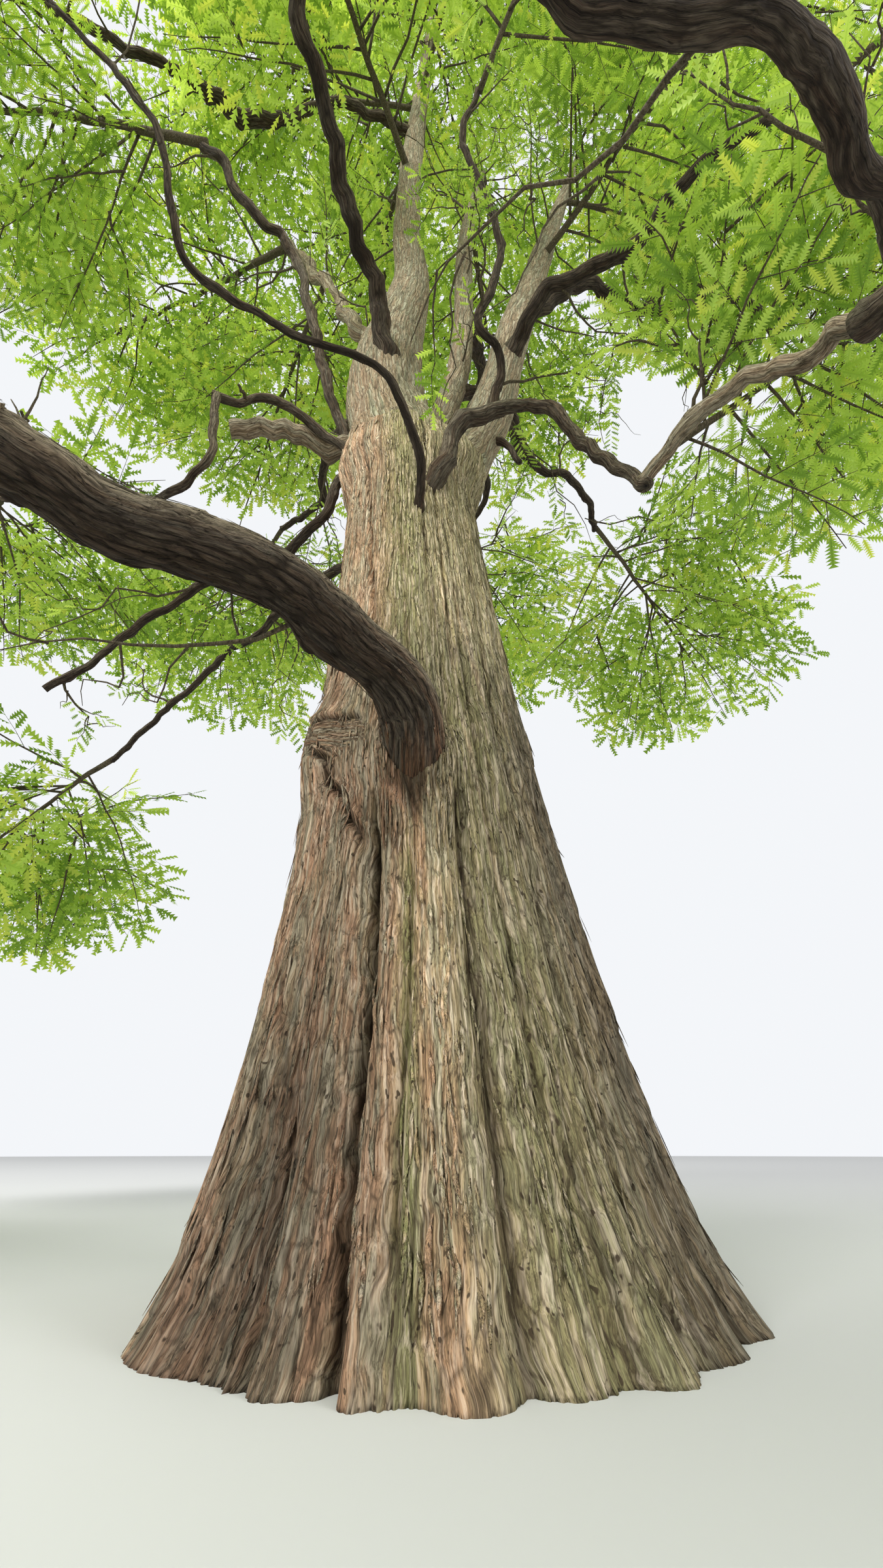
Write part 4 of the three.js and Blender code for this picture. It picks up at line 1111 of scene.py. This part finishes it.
def seeded(seed):
    """The same numbers from 0 to 1 for the same seed: each state is the last times 1664525 plus
    1013904223, cut to 32 bits."""
    state = seed
    while True:
        state = (state * 1664525 + 1013904223) % 2**32
        yield state / 2**32


def frond(root, direction, reach, blade, tilt):
    """A twig with the axis of its blade: points along it and the direction across its blade."""
    points, along = drooping(root, direction, reach, np.linspace(0, 1, 5))
    side = turned(unit(np.cross(along[-1], UP)), along[-1], tilt)
    beyond = np.linspace(0.2, 1, 5)[:, None] * blade
    fall = UP * BLADE_FALL * blade * (beyond / blade) ** 2
    return np.concatenate([points, points[-1] + beyond * along[-1] - fall]), side


def blade_reach(root, direction, reach, blade, tilt):
    """The points of a solid's twig and blade that have to be free: its outline and rows inside it."""
    points, along = drooping(root, direction, reach, [0.6, 1.0])
    side = turned(unit(np.cross(along[1], UP)), along[1], tilt)
    outline = BLADE_TEETH + [(1, 0)] + [(share, -across) for share, across in BLADE_TEETH]
    inside = [(share, across) for share in (0.1, 0.3, 0.5, 0.7, 0.9) for across in (-0.22, 0, 0.22)]
    places = np.array(outline + inside)
    spread = points[1] + blade * (places[:, :1] * along[1] + BLADE_WIDTH * places[:, 1:] * side)
    return np.concatenate([points, spread])


def twig_heading(stem, hand, roll, angle):
    """The direction of a twig that leaves its stem at an angle, to one hand, rolled up or down."""
    return (stem["along"] * np.cos(angle) + stem["across"] * hand * np.cos(roll) * np.sin(angle)
            + stem["upright"] * np.sin(roll) * np.sin(angle))


def main_fronds(index):
    """The fronds of a mass's own twigs by the rule of the solids, with the same seed."""
    stem = stems[index]
    numbers = seeded(stem["seed"])
    length = stem["length"]
    made = []

    def jitter(span):
        """The next number, from minus a span to the span."""
        return (next(numbers) - 0.5) * 2 * span

    def add(root, direction, reach, blade):
        """Keeps a frond if all of its solid's twig and blade is free, and says so."""
        tilt = np.radians(jitter(BLADE_TILT))
        if not free(index, blade_reach(root, direction, reach, blade, tilt)).all():
            return False
        made.append((*frond(root, direction, reach, blade, tilt), blade))
        return True

    for k in range(TWIGS):
        hand = -1 if k % 2 else 1
        share = FIRST_TWIG + (LAST_TWIG - FIRST_TWIG) * k / (TWIGS - 1) + jitter(PLACE_JITTER)
        roll = np.radians(jitter(TWIG_ROLL))
        angle = np.radians(TWIG_ANGLE + jitter(ANGLE_JITTER))
        out = twig_heading(stem, hand, roll, angle)
        reach = length * TWIG_LENGTH * (1 - 0.5 * share) * (1 + jitter(LENGTH_JITTER))
        blade = length * BLADE_LENGTH * (1 + jitter(LENGTH_JITTER))
        root = drooping(stem["root"], stem["along"], length, share)[0]
        grown = add(root, out, reach, blade)
        rise = np.radians(SIDE_TWIG_RISE + jitter(RISE_JITTER))
        raised = unit(out * np.cos(rise) + stem["upright"] * np.sin(rise))
        if grown and k % 2 == 0:
            place = drooping(root, out, reach, SIDE_TWIG_PLACE)[0]
            add(place, raised, length * SIDE_TWIG_LENGTH, blade * 0.85)
    return made


def cut_off(index, line, side, blade):
    """A list of a frond that ends where it leaves its mass's space, or an empty one if too little is left."""
    inside = free(index, line[1:], FRONDS_MARGIN, FROND_ROOM)
    count = len(inside) if inside.all() else int(inside.argmin())
    return [(line[:count + 1], side, blade)] if count >= LEAST_POINTS else []


def more_fronds(index, rng):
    """Finer fronds between the main ones by the same rule, each cut off where it leaves the space."""
    stem = stems[index]
    made = []
    for k in range(MORE_TWIGS):
        hand = 1 if k % 2 else -1
        share = 0.1 + 0.88 * (k + rng.random()) / MORE_TWIGS
        roll, angle = np.radians(rng.uniform(*MORE_ROLL)), np.radians(rng.uniform(*MORE_LEAN))
        out = twig_heading(stem, hand, roll, angle)
        reach = stem["length"] * TWIG_LENGTH * (1 - 0.5 * share) * rng.uniform(0.8, 1.2)
        blade = stem["length"] * BLADE_LENGTH * rng.uniform(0.8, 1.1)
        root = drooping(stem["root"], stem["along"], stem["length"], share)[0]
        tilt = np.radians(rng.uniform(-FROND_TILT, FROND_TILT))
        made += cut_off(index, *frond(root, out, reach, blade, tilt), blade)
    return made


def branch_fronds(index, mains, rng):
    """Fronds that branch off the main ones, in their planes and forwards, each cut off where it leaves
    the space."""
    length = stems[index]["length"]
    made = []
    for line, side, blade in mains:
        along, _, _ = frames(line)
        for k in range(BRANCHES):
            at = int(np.clip((0.2 + 0.62 * (k + rng.random()) / BRANCHES) * len(line), 1, len(line) - 2))
            hand = 1 if k % 2 else -1
            angle = np.radians(rng.uniform(*BRANCH_LEAN))
            across = unit(side - (along[at] @ side) * along[at])
            normal = np.cross(across, along[at])
            lift = rng.normal(0, 0.3) * normal
            out = unit(np.cos(angle) * along[at] + np.sin(angle) * hand * across + lift)
            reach, width = length * rng.uniform(0.08, 0.2), 0.85 * blade * rng.uniform(0.7, 1.1)
            tilt = np.radians(rng.uniform(-FROND_TILT, FROND_TILT))
            made += cut_off(index, *frond(line[at], out, reach, width, tilt), width)
    return made


def fine_twigs(index, line, side, blade, scale, rng):
    """The fine twigs of a frond: roots along its line, left and right by turns, directions that lean
    forwards in its plane, and lengths that swell to the middle of the frond and fall to its tip. Those
    that would reach another mass, a limb or too far past the solids are left out."""
    step = FINE_SPACING * scale
    _, length = evenly(line, 2)
    count = max(3, int(length * 0.9 / step))
    points, _ = evenly(line, 41)
    along, _, _ = frames(points)
    share = np.clip(0.1 + 0.9 * (np.arange(count) + 0.5 * rng.random(count)) / count, 0, 1)
    at = np.clip((share * 40).round().astype(int), 0, 40)
    hand = np.where(np.arange(count) % 2, 1.0, -1.0)[:, None]
    across = unit(side - (along[at] @ side)[:, None] * along[at])
    normal = np.cross(across, along[at])
    lean = np.radians(rng.uniform(*FINE_LEAN, count))[:, None]
    lift = rng.normal(0, 0.16, (count, 1))
    direction = unit(np.cos(lean) * along[at] + np.sin(lean) * hand * across + lift * normal)
    shape = np.interp(share, [0, 0.12, 0.5, 0.65, 1], [0.35, 0.6, 1, 1, 0.35])
    span = FINE_LENGTH * blade / BLADE_LENGTH * shape * rng.uniform(0.75, 1.2, count)
    tips = points[at] + direction * span[:, None]
    halfway = points[at] + direction * span[:, None] / 2
    kept = free(index, tips, -0.04, 0.03) & free(index, halfway, -0.06, 0.02)
    kept &= ((tips > np.array(solid_box[0]) - BOX_ROOM) & (tips < np.array(solid_box[1]) + BOX_ROOM)).all(1)
    return points[at][kept], direction[kept], normal[kept], span[kept]


def sprays_on(roots, direction, normal, span, scale, rng):
    """The sprays of fine twigs: two rows leaning forwards, and one at each tip."""
    step, size = SPRAY_SPACING * scale, SPRAY_LENGTH * scale
    most = int(span.max() / step) + 2
    number = np.arange(most)[None]
    place = (number + 0.6) * step
    used = place < span[:, None]
    last = np.maximum(used.sum(1) - 1, 0)
    place = np.minimum(place, span[:, None])
    tip = number == (last + 1)[:, None]
    twig, order = np.nonzero(used | tip)
    ends = tip[twig, order]
    out = place[twig, order][:, None]
    here = roots[twig] + direction[twig] * out - UP * FINE_FALL * out**2 / span[twig][:, None]
    hand = np.where(order % 2, 1.0, -1.0)
    lean = np.radians(rng.uniform(*SPRAY_LEAN, len(twig))) * ~ends
    across = np.cross(normal[twig], direction[twig])
    ahead = np.cos(lean)[:, None] * direction[twig] + (np.sin(lean) * hand)[:, None] * across
    ahead = unit(ahead + rng.normal(0, 0.13, (len(twig), 3)) - UP * 0.08)
    facing = square_to(unit(normal[twig] + rng.normal(0, 0.28, (len(twig), 3))), ahead)
    length = size * rng.uniform(0.78, 1.15, len(twig)) * np.where(ends, 1.15, 1.0)
    return here, ahead, facing, length


def spray_shape(pairs, width):
    """Triangles of a spray one unit long along X in the XY plane: a thin stalk and pairs of needles, each
    a pointed triangle that leans forwards, longest below the middle, with their tips sinking a little."""
    share = NEEDLES_START + NEEDLES_SPAN * np.arange(pairs) / pairs
    base = 1.2 * NEEDLES_SPAN / pairs
    reach = width * np.interp(share, [0.1, 0.3, 0.7, 1], [0.7, 1, 0.95, 0.4])
    triangles = [[(0, -STALK_HALF, 0), (1.0, 0, -SPRAY_SINK), (0, STALK_HALF, 0)]]
    for s, w in zip(share, reach):
        sink = -SPRAY_SINK * s * s
        for hand in (1, -1):
            corners = [(s, 0, sink), (s + base, 0, sink), (s + base * 0.8 + 0.04, hand * w, sink - 0.25 * w)]
            triangles.append(corners if hand > 0 else corners[::-1])
    return np.array(triangles)


def placed(shape, here, ahead, facing, length):
    """The corners of a shape's triangles at many places: its X, Y and Z turned to each spray's axes, made
    as long as each, and moved there."""
    axes = np.stack([ahead, np.cross(facing, ahead), facing], 1) * length[:, None, None]
    return (here[:, None, None] + np.einsum("tci,nij->ntcj", shape, axes)).reshape(-1, 3)


def spray_piece(name, points, tints):
    """A piece of many loose triangles, from their corners and the tint of each."""
    faces = np.arange(len(points)).reshape(-1, 3)
    piece = mesh_piece(name, points, faces, NEEDLE_TINTS, len(faces), tints)
    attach(piece, "root")
    return piece


def needle_material(name, red, green, blue):
    """Soft thin needles: a dull green that lets light through, in the same green but yellower."""
    material = bpy.data.materials.new(name)
    material.use_nodes = True
    tree = material.node_tree
    shader = tree.nodes["Principled BSDF"]
    shader.inputs["Base Color"].default_value = (red, green, blue, 1)
    shader.inputs["Roughness"].default_value = 0.6
    shader.inputs["Specular IOR Level"].default_value = 0.25
    lit = (red * 1.25, green * 1.15, blue * 0.6, 1)
    through = node(tree, "ShaderNodeBsdfTranslucent", {"Color": lit})
    both = node(tree, "ShaderNodeMixShader", {0: 0.5, 1: shader.outputs[0], 2: through.outputs[0]})
    tree.links.new(both.outputs[0], tree.nodes["Material Output"].inputs["Surface"])
    return material


NEEDLE_TINTS = [
    needle_material("needles_deep", 0.20, 0.345, 0.05), needle_material("needles_mid", 0.38, 0.56, 0.09),
    needle_material("needles_light", 0.51, 0.70, 0.16), needle_material("needles_yellow", 0.60, 0.71, 0.14),
]
TINT_LIMITS = [0.3, 0.62, 0.86]  # between the tints, from the deepest to the yellowest
TINT_BY_TWIG = 0.6  # how far the sprays of one frond share their tint
NEAR_PAIRS, FAR_PAIRS = 8, 5  # of needles on a spray
SPRAY_WIDTH, SPRAY_SINK, STALK_HALF = 0.19, 0.06, 0.012  # of its length, and the widths to one side
NEEDLES_START, NEEDLES_SPAN = 0.08, 0.86  # where along the stalk they stand
PIECE_TRIANGLES = 185000  # at most in one piece of sprays
near_shape, far_shape = spray_shape(NEAR_PAIRS, SPRAY_WIDTH), spray_shape(FAR_PAIRS, SPRAY_WIDTH)

STEM_POINTS, TIP_POINTS, TWIG_POINTS = 25, 12, 10  # of a stem, of its leafy end and of a twig
TWIG_ROOT_RADIUS, TWIG_THICKER = 0.002, 0.0042  # the second for each metre of its stem
STEM_CROOK, TWIG_CROOK = 0.008, 0.006  # how far they bend aside, of the stem's length

stem_lines, twig_lines, fine_lines, crown_sprays = [], [], [], []
for index, stem in enumerate(stems):
    rng = np.random.default_rng(900 + index)
    far = stem["middle"][2] > HIGH or stem["middle"][1] > BACK
    scale = 1.0 if stem["name"] in CLOSE_MASSES else HIGH_SCALE if far else LOW_SCALE
    line, along = drooping(stem["root"], stem["along"], stem["length"], np.linspace(0, 1, 13))
    blade = stem["length"] * BLADE_LENGTH
    beyond = np.linspace(0.15, 1, 6)[:, None] * blade
    line = np.concatenate([line, line[-1] + beyond * along[-1] - UP * BLADE_FALL * beyond**2 / blade])
    line, _ = evenly(line, STEM_POINTS)
    line = crooked(line, STEM_CROOK * stem["length"], rng)
    stem_lines.append(line)
    mains = main_fronds(index)
    own_tip = (line[-TIP_POINTS:], unit(np.cross(along[-1], UP)), blade)
    fronds = [own_tip] + mains + more_fronds(index, rng) + branch_fronds(index, mains, rng)
    sprays = []
    for number, (points, side, width) in enumerate(fronds):
        if number > 0:
            points = crooked(points, TWIG_CROOK * stem["length"], rng)
            radius = TWIG_THICKER * stem["length"] + TWIG_ROOT_RADIUS
            twig_lines.append((evenly(points, TWIG_POINTS)[0], radius))
        roots, direction, normal, span = fine_twigs(index, points, side, width, scale, rng)
        if len(roots):
            reach = np.linspace(0, 1, 3)[None, :, None] * span[:, None, None]
            fall = UP * FINE_FALL * reach**2 / span[:, None, None]
            fine_lines.append(roots[:, None] + direction[:, None] * reach - fall)
            grown = sprays_on(roots, direction, normal, span, scale, rng)
            mood = TINT_BY_TWIG * rng.random() + (1 - TINT_BY_TWIG) * rng.random(len(grown[0]))
            sprays.append((*grown, np.searchsorted(TINT_LIMITS, (mood - 0.5) * 1.35 + 0.5)))
    *grown, tints = [np.concatenate(kind) for kind in zip(*sprays)]
    shape = far_shape if scale > 1 else near_shape
    crown_sprays.append((f"foliage_{stem['name']}", placed(shape, *grown), np.repeat(tints, len(shape))))

# The sprays of neighbouring masses join into one piece while it stays small enough
groups = [[]]
for mass in crown_sprays:
    if groups[-1] and sum(len(tints) for _, _, tints in [*groups[-1], mass]) > PIECE_TRIANGLES:
        groups.append([])
    groups[-1].append(mass)
for number, group in enumerate(groups):
    names, points, tints = zip(*group)
    piece = spray_piece(f"sprays_{number + 1}", np.concatenate(points), np.concatenate(tints))
    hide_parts(*names)

# The stems, twigs and fine twigs that bear the sprays. They are living wood in thin smooth bark, round
# and tapering, and each grows out of the next thicker one.
STEM_TIP_RADIUS, STEM_SIDES = 0.003, 10
TWIG_TIP_RADIUS, TWIG_SIDES = 0.0025, 4
FINE_ROOT_RADIUS, FINE_TIP_RADIUS, FINE_SIDES = 0.0032, 0.0014, 3
twig_bark = bark_material(
    "twig_bark", tan=(0.085, 0.06, 0.04), grey=(0.10, 0.08, 0.055), warm=(0.09, 0.05, 0.03),
    dark=(0.03, 0.02, 0.014), film=(0.11, 0.12, 0.05), pale=(0.20, 0.15, 0.11), bump=0.4,
)


def tapered_tubes(lines_of_points, root_radius, tip_radius, sides):
    """Points and triangles of many tapering tubes at once, from an array of tubes, points and
    coordinates: rings of so many sides that shrink evenly from the root's radius to the tip's."""
    tubes, count, _ = lines_of_points.shape
    along = unit(np.gradient(lines_of_points, axis=1))
    side = unit(np.cross(along, UP + 0.01))
    up = np.cross(along, side)
    radius = root_radius[:, None] + (tip_radius - root_radius)[:, None] * np.linspace(0, 1, count)
    turn = 2 * np.pi * np.arange(sides) / sides
    ring = np.cos(turn)[:, None] * side[:, :, None] + np.sin(turn)[:, None] * up[:, :, None]
    return closed_tubes(lines_of_points[:, :, None] + radius[..., None, None] * ring)


def wood_piece(name, sides, *made):
    """A piece of many stems or twigs in bark, from lines of points with root and tip radii."""
    points, faces = tapered_tubes(*made, sides)
    plain = np.zeros(len(points))
    piece = mesh_piece(name, points, faces, [twig_bark], grain=points, furrow=plain, green=plain + 0.3,
                       red=plain, tone=plain + 0.8, light=plain + 1)
    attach(piece, "root")


radii = np.array([stem["radius"] for stem in stems])
wood_piece("stems", STEM_SIDES, np.stack(stem_lines), radii, 0 * radii + STEM_TIP_RADIUS)
twig_points, radii = [np.stack(kind) for kind in zip(*twig_lines)]
wood_piece("twigs", TWIG_SIDES, twig_points, radii, 0 * radii + TWIG_TIP_RADIUS)
fine = np.concatenate(fine_lines)
fine_radii = [np.full(len(fine), radius) for radius in (FINE_ROOT_RADIUS, FINE_TIP_RADIUS)]
wood_piece("fine_twigs", FINE_SIDES, fine, *fine_radii)

# The side twigs and broken stubs of the boughs. They are crooked thin wood that stands at the knots, with
# a few finer twigs of its own. None stands close in front of the camera.
STUB_SHARE = 0.4  # of the knots
STUB_LENGTH, SIDE_LENGTH = (0.04, 0.12), (0.35, 1.5)
FINER_LENGTH = (0.2, 0.5)  # of the side twig's
SIDE_LEAN = (38, 78)  # degrees from the bough
SIDE_CROOK, FINER_CROOK = 0.035, 0.02  # how far they bend aside, of the side twig's length
SIDE_THICKNESS = (0.3, 0.45)  # at the root, of the bough's
STUB_RADIUS, SIDE_RADIUS = 0.014, 0.011  # at the root, at most
SIDE_TIP_RADIUS, FINER_TIP_RADIUS = 0.0018, 0.0012
SIDE_BRANCHES, SIDE_TWIG_SIDES = 4, 5
SIDE_ROOM = 0.012  # between a side twig and the limbs
CAMERA_PLACE, CAMERA_ROOM = (0.0, -2.6, 0.44), 1.2
limb_balls, limb_ball_radius = balls[ball_owner < 0], ball_radius[ball_owner < 0]


def cleared(line):
    """A line cut off, beyond its first quarter, before it comes near a limb, the trunk or the camera or
    leaves the solids' box."""
    first = len(line) // 4 + 1
    gaps = np.linalg.norm(line[first:, None] - limb_balls, axis=-1) - limb_ball_radius
    from_trunk = np.linalg.norm(line[first:] - np.maximum(line[first:, 2:], 0) * TRUNK_LEAN, axis=-1)
    inside = (gaps.min(1) > SIDE_ROOM) & ((line[first:, 2] > TRUNK_HEIGHT) | (from_trunk > TRUNK_ROOM))
    inside &= np.linalg.norm(line[first:] - CAMERA_PLACE, axis=-1) > CAMERA_ROOM
    inside &= ((line[first:] > solid_box[0]) & (line[first:] < solid_box[1])).all(-1)
    return line if inside.all() else line[:first + int(inside.argmin())]


def side_twigs(name, rng):
    """Lines with root and tip radii of what stands at the knots of a bough: a short blunt stub, or a twig
    that leans forwards and bends, with finer twigs that leave it forwards to any side."""
    points, length = limb_line(name)
    along, side, up = frames(points)
    made = []
    for share, turn, _ in zip(*knots_of(name)):
        if share * length < exit_place(name) + 0.1:
            continue
        at = round(share * (LINE_POINTS - 1))
        out = np.cos(2 * np.pi * turn) * side[at] + np.sin(2 * np.pi * turn) * up[at]
        lean = np.radians(rng.uniform(*SIDE_LEAN))
        ahead = unit(np.cos(lean) * along[at] + np.sin(lean) * out + 0.12 * UP)
        thick = float(limb_radius(name, share))
        stub = rng.random() < STUB_SHARE
        reach = thick + rng.uniform(*(STUB_LENGTH if stub else SIDE_LENGTH))
        straight = points[at] + ahead * np.linspace(0, 1, 13)[:, None] * reach
        line = cleared(crooked(straight, SIDE_CROOK * reach, rng))
        if len(line) < 5:
            continue
        root = min(thick * rng.uniform(*SIDE_THICKNESS), STUB_RADIUS if stub else SIDE_RADIUS)
        made.append((evenly(line, 9)[0], root, 0.6 * root if stub else SIDE_TIP_RADIUS))
        for k in range(0 if stub else SIDE_BRANCHES):
            start = line[min(len(line) - 1, 4 + 2 * k)]
            across = unit(np.cross(ahead, unit(rng.normal(0, 1, 3))))
            ahead_too = unit(0.7 * ahead + 0.75 * across + 0.1 * UP)
            finer = start + ahead_too * np.linspace(0, 1, 13)[:, None] * reach * rng.uniform(*FINER_LENGTH)
            finer = cleared(crooked(finer, FINER_CROOK * reach, rng))
            if len(finer) > 5:
                made.append((evenly(finer, 9)[0], 0.45 * root, FINER_TIP_RADIUS))
    return made


side_lines = []
for index, name in enumerate(LIMBS):
    side_lines += side_twigs(name, np.random.default_rng(1300 + index))
wood_piece("side_twigs", SIDE_TWIG_SIDES, *[np.stack(kind) for kind in zip(*side_lines)])

# The fresh sprays of the side twigs. More than half of these bear soft green sprays towards their ends, in
# two rows as in the crown but smaller; the others are bare.
LEAFY_SHARE, LEAFY_SCALE = 0.6, 0.62
LEAFY_FROM = 3.0  # metres from the camera, nearer than which none stand
rng = np.random.default_rng(1400)
thin = [line[3:] for line, _, tip in side_lines if tip <= SIDE_TIP_RADIUS]
leafy = np.array([line for line in thin if rng.random() < LEAFY_SHARE])
span = np.linalg.norm(leafy[:, -1] - leafy[:, 0], axis=1)
direction = unit(leafy[:, -1] - leafy[:, 0])
normal = square_to(unit(UP + 0.3 * rng.normal(0, 1, direction.shape)), direction)
grown = sprays_on(leafy[:, 0], direction, normal, span, LEAFY_SCALE, rng)
beyond = np.linalg.norm(grown[0] - CAMERA_PLACE, axis=1) > LEAFY_FROM
grown = [values[beyond] for values in grown]
tints = np.searchsorted(TINT_LIMITS, 0.85 * rng.random(len(grown[0])))
spray_piece("side_sprays", placed(far_shape, *grown), np.repeat(tints, len(far_shape)))

# The pale floor and the soft light of the studio. The camera stands close in front of the trunk at
# knee height and looks up along it.
bpy.ops.mesh.primitive_circle_add(vertices=96, radius=70, fill_type="NGON")
floor = bpy.context.object
floor.name = "floor"
floor_paint = bpy.data.materials.new("floor_paint")
floor_paint.use_nodes = True
paint = floor_paint.node_tree.nodes["Principled BSDF"]
paint.inputs["Base Color"].default_value = (0.54, 0.54, 0.525, 1)
paint.inputs["Roughness"].default_value = 0.9
floor.data.materials.append(floor_paint)

world = bpy.data.worlds.new("studio")
world.use_nodes = True
sky = world.node_tree.nodes["Background"]
sky.inputs["Color"].default_value = (0.95, 0.97, 1.0, 1)
sky.inputs["Strength"].default_value = 0.95
bpy.context.scene.world = world


def soft_light(name, place, target, size, power):
    """A square area light that faces its target."""
    lamp = bpy.data.lights.new(name, "AREA")
    lamp.size = size
    lamp.energy = power
    holder = bpy.data.objects.new(name, lamp)
    bpy.context.scene.collection.objects.link(holder)
    holder.location = place
    holder.rotation_mode = "QUATERNION"
    holder.rotation_quaternion = (Vector(place) - Vector(target)).to_track_quat("Z", "Y")


soft_light("high_light", (-16, -22, 24), (0, 0, 5), 14, 15500)
soft_light("side_light", (24, -14, 16), (0, 0, 5), 12, 4200)

CAMERA_PITCH, CAMERA_LENS = 30.05, 14.55  # degrees and millimetres
camera = bpy.data.cameras.new("camera")
camera.sensor_width = 36
camera.lens = CAMERA_LENS
camera.clip_start = 0.05
camera.clip_end = 300
holder = bpy.data.objects.new("camera", camera)
holder.location = CAMERA_PLACE
holder.rotation_euler = (np.radians(90 + CAMERA_PITCH), 0, 0)
bpy.context.scene.collection.objects.link(holder)
bpy.context.scene.camera = holder
bpy.context.scene.view_settings.view_transform = "Standard"
